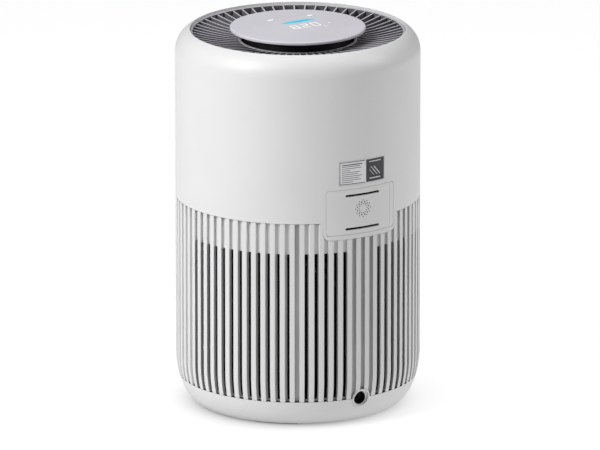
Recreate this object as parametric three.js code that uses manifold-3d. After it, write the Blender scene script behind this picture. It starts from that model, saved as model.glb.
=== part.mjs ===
// Tabletop air purifier: a round case with a ribbed intake, a fan above a ring filter,
// a radial outlet grille and a raised display disc.
// Millimetres, +Z up, origin on the table at the centre of the base, rear of the case at +Y.
import * as THREE from 'three';
import { mergeVertices } from 'three/addons/utils/BufferGeometryUtils.js';
import Module from 'manifold-3d';

const wasm = await Module();
wasm.setup();

// ---------------------------------------------------------------- driving dimensions
// Case
const BODY_RADIUS = 120;
const RIM_HEIGHT = 374.2; // table to the rim of the upper shell
const SEAM_HEIGHT = 208; // table to the joint between lower casing and upper shell
const TUCK_HEIGHT = 52; // height over which the foot of the case curves inwards
const TUCK_DEPTH = 25; // how far it curves in
const SHOULDER_RADIUS = 24;
const RIM_INSET = 14.5; // from the side of the case to the edge of the outlet well
const SHELL_WALL = 3;
const CASING_WALL = 4.4;
const FLANGE_WIDTH = 8; // ledge inside the top of the lower casing
const FLANGE_THICKNESS = 4;
const CLEARANCE = 0.3; // between pieces that touch on the real object
const FOOT_THICKNESS = 1.3;
const FOOT_WIDTH = 8;
const FOOT_SPAN = 26; // degrees of arc
const FOOT_COUNT = 4;
const BASE_PLATE = 3.4; // thickness of the base around the filter opening

// Intake ribs
const RIB_COUNT = 78;
const GAP_WIDTH = 4.6;
const GROOVE_DEPTH = 3;
const BAND_HEIGHT = 27.4; // table to the joint between the base and the ribs
const SILL_HEIGHT = 2; // ring that ties the ribs together at their feet
const SILL_WIDTH = 3;
const SLOT_TOP = 177; // above this the gaps are grooves only
const OPEN_GAPS = [
  // first gap, last gap and gap at the centre of each field of slots, counted from the rear
  { first: 2, last: 6, centre: 0 },
  { first: 8, last: 19, centre: 13.5 },
  { first: 25, last: 31, centre: 28 },
  { first: 33, last: 39, centre: 39 },
];

// Sensor door and the tongue of the shell around it
const DOOR_WIDTH = 76.8;
const DOOR_BOTTOM = 195;
const DOOR_TOP = 240;
const DOOR_CORNER = 3;
const DOOR_THICKNESS = 2.6;
const DOOR_SLOT_LENGTH = 38;
const DOOR_SLOT_HEIGHT = 2;
const DOOR_SLOT_INSET = 5.3; // from the door's edge to the middle of its slot
const TONGUE_BORDER = 4.6;
const TONGUE_CORNER = 7.5;
const TONGUE_TAPER = 1.5;
const SENSOR_TRAY_WIDTH = 68;
const SENSOR_TRAY_WALL = 2;
const SENSOR_SIZE = [44, 9, 17];

// Label
const LABEL_WIDTH = 52;
const LABEL_BOTTOM = 244.7;
const LABEL_TOP = 268.5;
const LABEL_THICKNESS = 0.5;
const LABEL_CORNER = 1.5;

// Power inlet
const INLET_HEIGHT = 26.6;
const INLET_RING_RADIUS = 9.75;
const INLET_RECESS_RADIUS = 8.25;
const INLET_RECESS_DEPTH = 5;
const INLET_BORE_RADIUS = 6;
const INLET_LENGTH = 16;
const INLET_PROUD = 0.5;
const INLET_NUT_WIDTH = 25;
const JACK_BORE_RADIUS = 2.9;
const JACK_PIN_RADIUS = 1.1;
const LEAD_RADIUS = 2;

// Outlet grille and display
const FIN_COUNT = 60;
const FIN_THICKNESS = 1.3;
const OUTLET_RING_WALL = 2.3;
const OUTLET_RING_HEIGHT = 9.6;
const OUTLET_SINK = 2.3; // outer ring below the rim
const OUTLET_DISH = 8; // inner ring below the outer ring
const HUB_RADIUS = 58;
const HUB_WALL = 2.8;
const HUB_PLATE = 2.5;
const WIRE_HOLE_RADIUS = 6;
const DISC_RADIUS = 66.4;
const DISC_THICKNESS = 3.2;
const DISC_RISE = 2.3; // top of the disc above the rim
const NECK_RADIUS = 52;
const NECK_WALL = 2.5;
const BOARD_THICKNESS = 1.6;
const DISPLAY_BOARD_DROP = 7; // from the underside of the disc to the display's board
const DISC_SKIRT = { wall: 2, height: 3 }; // ring under the disc that centres it in the neck

// Fan
const SERVICE_GAP = 23.5; // between the fan duct and the shell
const DUCT_WALL = 2.5;
const DISCHARGE_GAP = 15; // between the impeller and the duct
const EYE_INSET = 24; // from the impeller's edge to the eye of the deck
const DECK_THICKNESS = 3;
const BELLMOUTH_HEIGHT = 7.4;
const BELLMOUTH_WALL = 2;
const GUARD_WIRE = 2.2;
const GUARD_HUB_RADIUS = 6;
const GUARD_BARS = 3;
const IMPELLER_HEIGHT = 44;
const IMPELLER_SKIN = 2;
const IMPELLER_HUB_DEPTH = IMPELLER_HEIGHT / 2; // from the top of the impeller to its hub's foot
const IMPELLER_HUB_RADII = [14, 18, 26]; // at the hub's foot, its waist and its root
const IMPELLER_NUT_RADIUS = 6.5;
const IMPELLER_NUT_HEIGHT = 6;
const SHAFT_END = 9; // of shaft below the impeller's hub
const BLADE_COUNT = 9;
const BLADE_THICKNESS = 2;
const BLADE_SWEEP = 34; // degrees
const HUB_CUP_HEIGHT = 36;
const VANE_COUNT = 11;
const VANE_TILT = 25; // degrees
const VANE_THICKNESS = 2;
const FLARE_HEIGHT = 24; // of the duct's mouth
const FLARE_LIP = 8;
const SHAFT_RADIUS = 3;
const BEARING_RADIUS = 6.3;
const BEARING_HEIGHT = 4;
const ROTOR_RADIUS = 29.5;
const ROTOR_HEIGHT = 20;
const ROTOR_WALL = 2;
const MOTOR_FLANGE_RADIUS = 42;
const MOTOR_SCREW_CIRCLE = 36;
const MOTOR_SCREW_COUNT = 3;
const MOTOR_HOLE_RADIUS = 11; // in the floor of the hub cup, round the shaft
const MOTOR_TUBE_WALL = 2.2;
const STATOR_HEIGHT = 11;
const STATOR_POLES = 9;
const STATOR_SLOT = [9, 2.4]; // depth and width
const ISOLATOR_RADIUS = 5;
const ISOLATOR_HEIGHT = 3;

// Filter and its cover
const OPENING_INSET = 7; // from the foot of the case to the filter opening
const FILTER_DEPTH = 23;
const FILTER_CAP = 4;
const SEAL_HEIGHT = 5;
const SEAL_WIDTH = 12;
const SLEEVE_THICKNESS = 1.2;
const PULL_TAB = { half: 24, radius: 8, thickness: 1 };
const COVER_WALL = 2.4;
const COVER_WALL_INSET = 1.2;
const LUG_TURN = 20; // degrees from the rear to the first lug
const COVER_FLOOR = 2.8;
const GRIP_RADIUS = 40;
const GRIP_DEPTH = 8;
const GRIP_BAR_WIDTH = 13;
const LUG_COUNT = 3;
const LUG_LENGTH = 16;
const LUG_REACH = 4;
const LUG_HEIGHT = 3;
const TWIST = 24; // degrees from locked to released

// Control board
const CONTROL_BOARD_WIDTH = 70;
const CONTROL_BOARD_HEIGHT = 60;
const CONTROL_BOARD_ANGLE = 60; // degrees from the rear towards +X
const CONTROL_BOARD_STANDOFF = 9.7; // from the duct
const CAPACITOR = { radius: 4, length: 8, across: [-18, -4], height: 40 };
const CHIP = { size: 14, thickness: 2, across: -14, height: 16 };
const BOARD_RAIL = { depth: 7, height: 8, across: -8 };

// Screws
const SCREW_RADIUS = 1.5;
const SCREW_HEAD_RADIUS = 3;
const SCREW_HEAD_HEIGHT = 2;
const DECK_SCREW_COUNT = 4;

// Facets of a full circle
const CASE_FACETS = RIB_COUNT;
const SHELL_FACETS = 52;
const SMOOTH_FACETS = 36;
const ROUND_FACETS = 24;
const SMALL_FACETS = 12;

// ---------------------------------------------------------------- derived levels
const BASE_RADIUS = BODY_RADIUS - TUCK_DEPTH;
const OPENING_RADIUS = BASE_RADIUS - OPENING_INSET;
const BASE_UNDERSIDE = FOOT_THICKNESS + CLEARANCE;
const BASE_PLATE_TOP = BASE_UNDERSIDE + BASE_PLATE;
const RIM_RADIUS = BODY_RADIUS - RIM_INSET;
const SHOULDER_CENTRE = BODY_RADIUS - SHOULDER_RADIUS;
const SHOULDER_HEIGHT = RIM_HEIGHT
  - Math.sqrt(SHOULDER_RADIUS ** 2 - (RIM_RADIUS - SHOULDER_CENTRE) ** 2);
const DUCT_RADIUS = BODY_RADIUS - SHELL_WALL - SERVICE_GAP;
const IMPELLER_RADIUS = DUCT_RADIUS - DUCT_WALL - DISCHARGE_GAP;
const EYE_RADIUS = IMPELLER_RADIUS - EYE_INSET;
const DECK_BOTTOM = SEAM_HEIGHT + CLEARANCE / 2;
const DECK_TOP = DECK_BOTTOM + DECK_THICKNESS;
const IMPELLER_BOTTOM = DECK_BOTTOM + BELLMOUTH_HEIGHT + 5 * CLEARANCE;
const IMPELLER_TOP = IMPELLER_BOTTOM + IMPELLER_HEIGHT;
const HUB_CUP_BOTTOM = IMPELLER_TOP + 2;
const HUB_CUP_FLOOR = HUB_CUP_BOTTOM + DUCT_WALL;
const HUB_CUP_TOP = HUB_CUP_BOTTOM + HUB_CUP_HEIGHT;
const MOTOR_FLANGE_BOTTOM = HUB_CUP_FLOOR + ISOLATOR_HEIGHT + 2 * CLEARANCE;
const MOTOR_FLANGE_TOP = MOTOR_FLANGE_BOTTOM + DUCT_WALL;
const OUTLET_TOP = RIM_HEIGHT - OUTLET_SINK;
const OUTLET_BOTTOM = OUTLET_TOP - OUTLET_RING_HEIGHT;
const HUB_TOP = OUTLET_TOP - OUTLET_DISH;
const HUB_PLATE_TOP = HUB_TOP - OUTLET_RING_HEIGHT + HUB_PLATE;
const HUB_PLATE_BOTTOM = HUB_PLATE_TOP - HUB_PLATE;
const DISC_TOP = RIM_HEIGHT + DISC_RISE;
const DISC_BOTTOM = DISC_TOP - DISC_THICKNESS;
const COVER_INNER_TOP = BASE_UNDERSIDE + GRIP_DEPTH + COVER_FLOOR;
const FILTER_BOTTOM = COVER_INNER_TOP + CLEARANCE;
const SEAL_TOP = DECK_BOTTOM - CLEARANCE;
const CAP_TOP = SEAL_TOP - SEAL_HEIGHT - CLEARANCE;
const FILTER_RADIUS = OPENING_RADIUS - 2;
const REAR = Math.PI / 2;
const GAP_PITCH = 2 * Math.PI / RIB_COUNT;
const CUT = 6; // how far a cutter stands past the face that it cuts

// ---------------------------------------------------------------- materials
function plastic(color, roughness = 0.5) {
  return new THREE.MeshStandardMaterial({ color, roughness, metalness: 0 });
}

function metal(color, roughness = 0.35) {
  return new THREE.MeshStandardMaterial({ color, roughness, metalness: 1 });
}

const WHITE = 0xf1f1ef;
const GREY = 0xb2b0b6;
const BLACK = 0x17171a;
const LILAC_GREY = 0xc8c6cb;
const STEEL = 0xb9bcc0;
const GREEN = 0x1d5b3a;
const RUBBER = 0x2b2b2d;

// ---------------------------------------------------------------- solids and shapes
function weld(geometry) {
  const bare = geometry.clone();
  bare.deleteAttribute('normal');
  bare.deleteAttribute('uv');
  const merged = mergeVertices(bare, 1e-3);
  const kept = [];
  for (let i = 0; i < merged.index.count; i += 3) {
    const [a, b, c] = [0, 1, 2].map((k) => merged.index.getX(i + k));
    if (a !== b && b !== c && c !== a) kept.push(a, b, c);
  }
  merged.setIndex(kept);
  return merged;
}

function solid(geometry) {
  const mesh = weld(geometry);
  return new wasm.Manifold(new wasm.Mesh({
    numProp: 3,
    vertProperties: new Float32Array(mesh.attributes.position.array),
    triVerts: new Uint32Array(mesh.index.array),
  }));
}

function shapeOf(manifold) {
  const { vertProperties, triVerts } = manifold.getMesh();
  const geometry = new THREE.BufferGeometry();
  geometry.setAttribute('position', new THREE.BufferAttribute(new Float32Array(vertProperties), 3));
  geometry.setIndex(new THREE.BufferAttribute(new Uint32Array(triVerts), 1));
  return geometry;
}

// A profile of [radius, height] points turned about Z, with an edge between facets at +Y.
function turned(profile, facets = ROUND_FACETS) {
  const points = profile.map(([radius, height]) => new THREE.Vector2(radius, height));
  return new THREE.LatheGeometry(points, facets).rotateX(Math.PI / 2);
}

function closed(profile) {
  return [...profile, profile[0]];
}

function ring(inner, outer, low, high, facets = ROUND_FACETS) {
  return turned(closed([[inner, low], [outer, low], [outer, high], [inner, high]]), facets);
}

function puck(radius, low, high, facets = ROUND_FACETS) {
  return turned([[0, low], [radius, low], [radius, high], [0, high]], facets);
}

function block(width, depth, height, x = 0, y = 0, z = 0) {
  return new THREE.BoxGeometry(width, depth, height).translate(x, y, z);
}

// A round bar along Y.
function barAlongY(radius, low, high, height, facets = SMALL_FACETS) {
  const bar = new THREE.CylinderGeometry(radius, radius, high - low, facets);
  return bar.translate(0, (low + high) / 2, height);
}

// An outline in the XZ plane pushed along Y between two depths.
function pushedAlongY(shape, low, high) {
  const settings = { depth: high - low, bevelEnabled: false, curveSegments: 3 };
  return new THREE.ExtrudeGeometry(shape, settings).rotateX(Math.PI / 2).translate(0, high, 0);
}

// An outline of [radius, height] points as a plate of the given thickness that stands on +X.
function radialPlate(outline, thickness) {
  const shape = new THREE.Shape(outline.map(([radius, height]) => new THREE.Vector2(radius, height)));
  const settings = { depth: thickness, bevelEnabled: false };
  const plate = new THREE.ExtrudeGeometry(shape, settings);
  return plate.translate(0, 0, -thickness / 2).rotateX(Math.PI / 2);
}

// A four-sided outline with rounded lower (and, if asked, upper) corners.
function roundedOutline(lowHalf, highHalf, low, high, corner, roundTop = true) {
  const shape = new THREE.Shape();
  const top = roundTop ? corner : 0;
  shape.moveTo(-lowHalf + corner, low);
  shape.lineTo(lowHalf - corner, low);
  shape.quadraticCurveTo(lowHalf, low, lowHalf, low + corner);
  shape.lineTo(highHalf, high - top);
  if (roundTop) shape.quadraticCurveTo(highHalf, high, highHalf - top, high);
  shape.lineTo(-highHalf + top, high);
  if (roundTop) shape.quadraticCurveTo(-highHalf, high, -highHalf, high - top);
  shape.lineTo(-lowHalf, low + corner);
  shape.quadraticCurveTo(-lowHalf, low, -lowHalf + corner, low);
  return shape;
}

function piece(name, geometry, material) {
  const mesh = new THREE.Mesh(geometry, material);
  mesh.name = name;
  return mesh;
}

function group(...members) {
  const holder = new THREE.Group();
  holder.add(...members);
  return holder;
}

// ---------------------------------------------------------------- outline of the case
function bodyRadiusAt(height) {
  const drop = Math.max(0, TUCK_HEIGHT - height) / TUCK_HEIGHT;
  return BASE_RADIUS + TUCK_DEPTH * Math.sqrt(1 - drop * drop);
}

// Points up the curved foot of the case, evenly spaced along its quarter ellipse.
function tuckOutline(low, high, steps, inset = 0) {
  const start = Math.asin((TUCK_HEIGHT - low) / TUCK_HEIGHT);
  const end = Math.asin((TUCK_HEIGHT - high) / TUCK_HEIGHT);
  return Array.from({ length: steps + 1 }, (_, i) => {
    const angle = start + (end - start) * i / steps;
    const height = TUCK_HEIGHT * (1 - Math.sin(angle));
    return [bodyRadiusAt(height) - inset, height];
  });
}

function shoulderOutline(radius, fromAngle, toAngle, steps) {
  return Array.from({ length: steps + 1 }, (_, i) => {
    const angle = fromAngle + (toAngle - fromAngle) * i / steps;
    return [SHOULDER_CENTRE + radius * Math.cos(angle), SHOULDER_HEIGHT + radius * Math.sin(angle)];
  });
}

function tonguePrism(grow) {
  const half = DOOR_WIDTH / 2 + TONGUE_BORDER + grow;
  const low = DOOR_BOTTOM - TONGUE_BORDER - grow;
  const high = SEAM_HEIGHT + CUT;
  const outline = roundedOutline(half - TONGUE_TAPER, half, low, high, TONGUE_CORNER, false);
  return solid(pushedAlongY(outline, 0, BODY_RADIUS + CUT));
}

function doorPrism(grow) {
  const half = DOOR_WIDTH / 2 + grow;
  const outline = roundedOutline(half, half, DOOR_BOTTOM - grow, DOOR_TOP + grow, DOOR_CORNER);
  return solid(pushedAlongY(outline, 0, BODY_RADIUS + CUT));
}

function labelPrism(grow) {
  const half = LABEL_WIDTH / 2 + grow;
  const outline = roundedOutline(half, half, LABEL_BOTTOM - grow, LABEL_TOP + grow, LABEL_CORNER);
  return solid(pushedAlongY(outline, 0, BODY_RADIUS + CUT));
}

// ---------------------------------------------------------------- intake grille
// One gap between two ribs. Its walls lie along the direction in which that field of
// slots is drawn from the mould, so they slant against the radius away from its middle.
function gapCutter(index, field) {
  const angle = REAR + index * GAP_PITCH;
  const draw = field ? REAR + Math.sign(index) * field.centre * GAP_PITCH : angle;
  const slant = angle - draw;
  const offset = BODY_RADIUS * Math.sin(slant);
  const surface = (height) => Math.sqrt(bodyRadiusAt(height) ** 2 - offset ** 2);
  const outside = surface(SEAM_HEIGHT) + CUT;
  const floor = surface(SEAM_HEIGHT) - GROOVE_DEPTH;
  const outline = [[outside, BAND_HEIGHT], [outside, SEAM_HEIGHT + 1], [floor, SEAM_HEIGHT + 1]];
  if (field) {
    const through = surface(BAND_HEIGHT) - 2 * CASING_WALL;
    const sill = surface(BAND_HEIGHT) - GROOVE_DEPTH;
    outline.push([floor, SLOT_TOP], [through, SLOT_TOP], [through, BAND_HEIGHT + SILL_HEIGHT],
      [sill, BAND_HEIGHT + SILL_HEIGHT], [sill, BAND_HEIGHT]);
  } else {
    const rise = tuckOutline(BAND_HEIGHT, TUCK_HEIGHT, 2, GROOVE_DEPTH);
    outline.push(...rise.reverse());
  }
  const plate = radialPlate(outline, GAP_WIDTH * Math.cos(slant));
  return solid(plate.translate(0, offset, 0).rotateZ(draw));
}

function fieldOf(index) {
  return OPEN_GAPS.find(({ first, last }) => Math.abs(index) >= first && Math.abs(index) <= last);
}

function deckScrewAngle(i) {
  return REAR + Math.PI / DECK_SCREW_COUNT + i * 2 * Math.PI / DECK_SCREW_COUNT;
}

const DECK_SCREW_CIRCLE = BODY_RADIUS - CASING_WALL - FLANGE_WIDTH / 2;

function deckScrewHoles(low, high) {
  const hole = new THREE.CylinderGeometry(1, 1, high - low, SMALL_FACETS / 2).rotateX(Math.PI / 2);
  hole.scale(SCREW_RADIUS + CLEARANCE, SCREW_RADIUS + CLEARANCE, 1);
  hole.translate(DECK_SCREW_CIRCLE, 0, (low + high) / 2);
  const angles = Array.from({ length: DECK_SCREW_COUNT }, (_, i) => deckScrewAngle(i));
  return angles.map((angle) => solid(hole.clone().rotateZ(angle)));
}

function intakeGrille() {
  const bottom = BAND_HEIGHT + CLEARANCE / 2;
  const sillTop = BAND_HEIGHT + SILL_HEIGHT;
  const foot = bodyRadiusAt(bottom) - CASING_WALL;
  const top = SEAM_HEIGHT - CLEARANCE / 2;
  const inner = BODY_RADIUS - CASING_WALL;
  const ledge = inner - FLANGE_WIDTH;
  const profile = closed([
    [foot - SILL_WIDTH, bottom],
    ...tuckOutline(bottom, TUCK_HEIGHT, 2),
    [BODY_RADIUS, top],
    [ledge, top],
    [ledge, top - FLANGE_THICKNESS],
    [inner, top - FLANGE_THICKNESS],
    [inner, TUCK_HEIGHT],
    [bodyRadiusAt(sillTop) - CASING_WALL, sillTop],
    [foot - SILL_WIDTH, sillTop],
  ]);
  let grille = solid(turned(profile, CASE_FACETS));
  const half = RIB_COUNT / 2;
  for (let index = 1 - half; index <= half; index += 1) {
    grille = grille.subtract(gapCutter(index, fieldOf(index)));
  }
  const behindTongue = solid(puck(inner - CLEARANCE, 0, RIM_HEIGHT, CASE_FACETS));
  grille = grille.subtract(tonguePrism(CLEARANCE).subtract(behindTongue));
  grille = grille.subtract(inletHole());
  deckScrewHoles(top - FLANGE_THICKNESS - 1, top + 1).forEach((hole) => {
    grille = grille.subtract(hole);
  });
  return piece('intake_grille', shapeOf(grille), plastic(WHITE, 0.45));
}

function inletHole() {
  return solid(barAlongY(INLET_RING_RADIUS + CLEARANCE, BASE_RADIUS, BODY_RADIUS + CUT,
    INLET_HEIGHT, 2 * SMALL_FACETS));
}

// ---------------------------------------------------------------- upper shell, label
function upperShell() {
  const bottom = DOOR_BOTTOM - TONGUE_BORDER;
  const rimAngle = Math.acos((RIM_RADIUS - SHOULDER_CENTRE) / SHOULDER_RADIUS);
  const skirt = RIM_RADIUS + SHELL_WALL - 0.5;
  const innerRadius = SHOULDER_RADIUS - SHELL_WALL;
  const skirtAngle = Math.acos((skirt - SHOULDER_CENTRE) / innerRadius);
  const profile = closed([
    [BODY_RADIUS, bottom],
    ...shoulderOutline(SHOULDER_RADIUS, 0, rimAngle, 5),
    [RIM_RADIUS, OUTLET_BOTTOM - CLEARANCE],
    [skirt, OUTLET_BOTTOM - CLEARANCE],
    ...shoulderOutline(innerRadius, skirtAngle, 0, 2),
    [BODY_RADIUS - SHELL_WALL, bottom],
  ]);
  const belowSeam = solid(ring(BODY_RADIUS - 2 * SHELL_WALL, BODY_RADIUS + CUT / 2, bottom - CUT,
    SEAM_HEIGHT + CLEARANCE / 2, SHELL_FACETS));
  const recess = solid(ring(BODY_RADIUS - LABEL_THICKNESS - 1.3 * CLEARANCE, BODY_RADIUS + CUT / 2,
    LABEL_BOTTOM - CUT, LABEL_TOP + CUT, SHELL_FACETS));
  const shell = solid(turned(profile, SHELL_FACETS))
    .subtract(belowSeam.subtract(tonguePrism(0)))
    .subtract(doorPrism(CLEARANCE))
    .subtract(labelPrism(CLEARANCE).intersect(recess));
  return piece('upper_shell', shapeOf(shell), plastic(WHITE, 0.42));
}

function infoLabel() {
  const skin = solid(ring(BODY_RADIUS - LABEL_THICKNESS, BODY_RADIUS - 0.1 * CLEARANCE,
    LABEL_BOTTOM - CUT, LABEL_TOP + CUT, SHELL_FACETS));
  return piece('info_label', shapeOf(skin.intersect(labelPrism(0))), plastic(0xd9d9da, 0.6));
}

// ---------------------------------------------------------------- sensor bay
function doorSlot(height) {
  const half = DOOR_SLOT_LENGTH / 2;
  const rise = DOOR_SLOT_HEIGHT / 2;
  const outline = roundedOutline(half, half, height - rise, height + rise, rise * 0.9);
  return solid(pushedAlongY(outline, BASE_RADIUS, BODY_RADIUS + CUT));
}

const TRAY_BOTTOM = DECK_TOP + 2;
const TRAY_TOP = DOOR_TOP - 2;
const TRAY_BACK = DUCT_RADIUS + 3;
const TRAY_FRONT = Math.sqrt((BODY_RADIUS - SHELL_WALL - 3 * CLEARANCE) ** 2
  - (SENSOR_TRAY_WIDTH / 2) ** 2);

function sensorDoor() {
  const skin = solid(ring(BODY_RADIUS - DOOR_THICKNESS, BODY_RADIUS, DOOR_BOTTOM - CUT,
    DOOR_TOP + CUT, SHELL_FACETS));
  let door = skin.intersect(doorPrism(0))
    .subtract(doorSlot(DOOR_TOP - DOOR_SLOT_INSET - 1))
    .subtract(doorSlot(DOOR_BOTTOM + DOOR_SLOT_INSET));
  const clipX = SENSOR_TRAY_WIDTH / 2 - SENSOR_TRAY_WALL - 2.5;
  const clipFront = Math.sqrt((BODY_RADIUS - DOOR_THICKNESS) ** 2 - clipX ** 2) + 0.8;
  const clipLength = clipFront - TRAY_FRONT + 3;
  for (const side of [-1, 1]) {
    const clip = block(2, clipLength, 8, side * clipX, clipFront - clipLength / 2,
      (TRAY_BOTTOM + TRAY_TOP) / 2);
    door = door.add(solid(clip));
  }
  return piece('sensor_door', shapeOf(door), plastic(WHITE, 0.42));
}

function sensorBay() {
  const depth = TRAY_FRONT - TRAY_BACK;
  const height = TRAY_TOP - TRAY_BOTTOM;
  const middle = (TRAY_FRONT + TRAY_BACK) / 2;
  const wall = SENSOR_TRAY_WALL;
  const outer = solid(block(SENSOR_TRAY_WIDTH, depth, height));
  const hollow = solid(block(SENSOR_TRAY_WIDTH - 2 * wall, depth, height - 2 * wall, 0, wall, 0));
  const cable = solid(block(10, depth, 5, SENSOR_SIZE[0] / 2, 0, 0));
  const tray = piece('sensor_tray', shapeOf(outer.subtract(hollow).subtract(cable)),
    plastic(BLACK, 0.6));
  const [width, thickness, tall] = SENSOR_SIZE;
  const body = solid(block(width, thickness, tall));
  const intake = solid(barAlongY(4, 0, thickness, 0)).translate(width / 5, 0, 0);
  const sensor = piece('dust_sensor', shapeOf(body.subtract(intake)), metal(STEEL, 0.4));
  sensor.position.y = -depth / 2 + wall + CLEARANCE + thickness / 2;
  const bay = group(tray, sensor);
  bay.position.set(0, middle, (TRAY_BOTTOM + TRAY_TOP) / 2);
  return bay;
}

// ---------------------------------------------------------------- power inlet
const INLET_FRONT = bodyRadiusAt(INLET_HEIGHT);
const INLET_BACK = INLET_FRONT - INLET_LENGTH;

function powerInlet() {
  const reach = INLET_RING_RADIUS + 2;
  const skin = tuckOutline(INLET_HEIGHT - reach, INLET_HEIGHT + reach, 6, -INLET_PROUD);
  const envelope = solid(turned([[0, INLET_HEIGHT - reach], ...skin, [0, INLET_HEIGHT + reach]],
    CASE_FACETS));
  const facets = 2 * SMALL_FACETS;
  const beyond = BODY_RADIUS + CUT;
  const bezel = solid(barAlongY(INLET_RING_RADIUS, INLET_BACK, beyond, INLET_HEIGHT, facets))
    .intersect(envelope)
    .subtract(solid(barAlongY(INLET_RECESS_RADIUS, INLET_FRONT - INLET_RECESS_DEPTH, beyond,
      INLET_HEIGHT, facets)))
    .subtract(solid(barAlongY(INLET_BORE_RADIUS, INLET_BACK - 1, beyond, INLET_HEIGHT, facets)));
  const jackFront = INLET_BACK + 6;
  const jackBack = INLET_BACK - 8;
  const jackFloor = INLET_BACK - 3;
  const jack = solid(barAlongY(INLET_BORE_RADIUS - CLEARANCE, jackBack, jackFront, INLET_HEIGHT))
    .subtract(solid(barAlongY(JACK_BORE_RADIUS, jackFloor, jackFront + 1, INLET_HEIGHT)));
  const pin = barAlongY(JACK_PIN_RADIUS, jackFloor + CLEARANCE, jackFront - 1, INLET_HEIGHT, 8);
  const nutBar = barAlongY(INLET_NUT_WIDTH / 2 / Math.cos(Math.PI / 6), INLET_BACK + 0.5,
    INLET_BACK + 4, INLET_HEIGHT, 6);
  const nut = solid(nutBar).subtract(solid(barAlongY(INLET_RING_RADIUS + CLEARANCE, INLET_BACK,
    INLET_BACK + CUT, INLET_HEIGHT, facets)));
  return group(
    piece('inlet_bezel', shapeOf(bezel), plastic(WHITE, 0.4)),
    piece('inlet_jack', shapeOf(jack), plastic(BLACK, 0.5)),
    piece('inlet_pin', pin, metal(STEEL, 0.25)),
    piece('inlet_nut', shapeOf(nut), plastic(BLACK, 0.55)),
  );
}

const LEAD_FOOT = INLET_BACK - 4.5;
const BOARD_RADIUS = DUCT_RADIUS + CONTROL_BOARD_STANDOFF + BOARD_THICKNESS / 2;
const CONNECTOR = { along: 32, inwards: 5, low: DECK_TOP + 11, size: 8 };

// The lead climbs behind the ribs, then winds round the filter to the board's connector.
function powerLead() {
  const landing = new THREE.Vector2(BOARD_RADIUS - CONNECTOR.inwards, CONNECTOR.along);
  const turn = THREE.MathUtils.degToRad(CONTROL_BOARD_ANGLE) - landing.angle();
  const windLow = SEAM_HEIGHT * 0.55;
  const windHigh = SEAM_HEIGHT - 12;
  const start = INLET_HEIGHT + INLET_BORE_RADIUS + CLEARANCE;
  const end = CONNECTOR.low - CLEARANCE;
  const heights = [start, start + 12, windLow];
  for (let i = 1; i <= 8; i += 1) heights.push(windLow + (windHigh - windLow) * i / 8);
  heights.push(end - 8, end);
  const points = heights.map((height) => {
    const share = THREE.MathUtils.smoothstep(height, windLow, windHigh);
    const radius = LEAD_FOOT + (landing.length() - LEAD_FOOT) * share;
    const angle = REAR - turn * share;
    return new THREE.Vector3(radius * Math.cos(angle), radius * Math.sin(angle), height);
  });
  const section = new THREE.Shape();
  section.absarc(0, 0, LEAD_RADIUS, 0, 2 * Math.PI);
  const settings = {
    steps: 28,
    curveSegments: 4,
    bevelEnabled: false,
    extrudePath: new THREE.CatmullRomCurve3(points, false, 'centripetal'),
  };
  const geometry = weld(new THREE.ExtrudeGeometry(section, settings));
  return piece('power_lead', geometry, plastic(BLACK, 0.6));
}

function leadHole(low, high) {
  const landing = new THREE.Vector2(BOARD_RADIUS - CONNECTOR.inwards, CONNECTOR.along);
  const angle = REAR - THREE.MathUtils.degToRad(CONTROL_BOARD_ANGLE) + landing.angle();
  const hole = new THREE.CylinderGeometry(1, 1, high - low, SMALL_FACETS).rotateX(Math.PI / 2);
  hole.scale(LEAD_RADIUS + 2 * CLEARANCE, LEAD_RADIUS + 2 * CLEARANCE, 1);
  return solid(hole.translate(landing.length(), 0, (low + high) / 2).rotateZ(angle));
}

function controlBoard() {
  const low = DECK_TOP + 3;
  const board = solid(block(BOARD_THICKNESS, CONTROL_BOARD_WIDTH, CONTROL_BOARD_HEIGHT,
    BOARD_RADIUS, 0, low + CONTROL_BOARD_HEIGHT / 2));
  const inwards = CONNECTOR.inwards + CONNECTOR.size / 2;
  const face = BOARD_RADIUS - BOARD_THICKNESS / 2;
  const connectorDepth = face - (BOARD_RADIUS - inwards) + 0.2;
  const connector = solid(block(connectorDepth, CONNECTOR.size, CONNECTOR.size,
    BOARD_RADIUS - inwards + connectorDepth / 2, CONNECTOR.along - CONNECTOR.size / 4,
    CONNECTOR.low + CONNECTOR.size / 2));
  let assembled = board.add(connector);
  for (const across of CAPACITOR.across) {
    const can = new THREE.CylinderGeometry(CAPACITOR.radius, CAPACITOR.radius, CAPACITOR.length,
      SMALL_FACETS).rotateZ(Math.PI / 2);
    can.translate(BOARD_RADIUS + CAPACITOR.length / 2, across, low + CAPACITOR.height);
    assembled = assembled.add(solid(can));
  }
  const chip = solid(block(CHIP.thickness, CHIP.size, CHIP.size,
    BOARD_RADIUS + (BOARD_THICKNESS + CHIP.thickness) / 2 - 0.3, CHIP.across, low + CHIP.height));
  const mesh = piece('control_board', shapeOf(assembled.add(chip)), plastic(GREEN, 0.55));
  const holderHigh = DECK_TOP + BOARD_RAIL.height;
  const holderLow = DECK_TOP + CLEARANCE;
  const rail = solid(block(BOARD_RAIL.depth, CONTROL_BOARD_WIDTH * 0.6, holderHigh - holderLow,
    BOARD_RADIUS, BOARD_RAIL.across, (holderHigh + holderLow) / 2));
  const groove = solid(block(BOARD_THICKNESS + 2 * CLEARANCE, CONTROL_BOARD_WIDTH, holderHigh - low
    + 1 + CLEARANCE, BOARD_RADIUS, 0, (holderHigh + low + 1 - CLEARANCE) / 2));
  const holder = piece('board_holder', shapeOf(rail.subtract(groove)), plastic(BLACK, 0.6));
  const pair = group(mesh, holder);
  pair.rotation.z = REAR - THREE.MathUtils.degToRad(CONTROL_BOARD_ANGLE);
  return pair;
}

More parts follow.
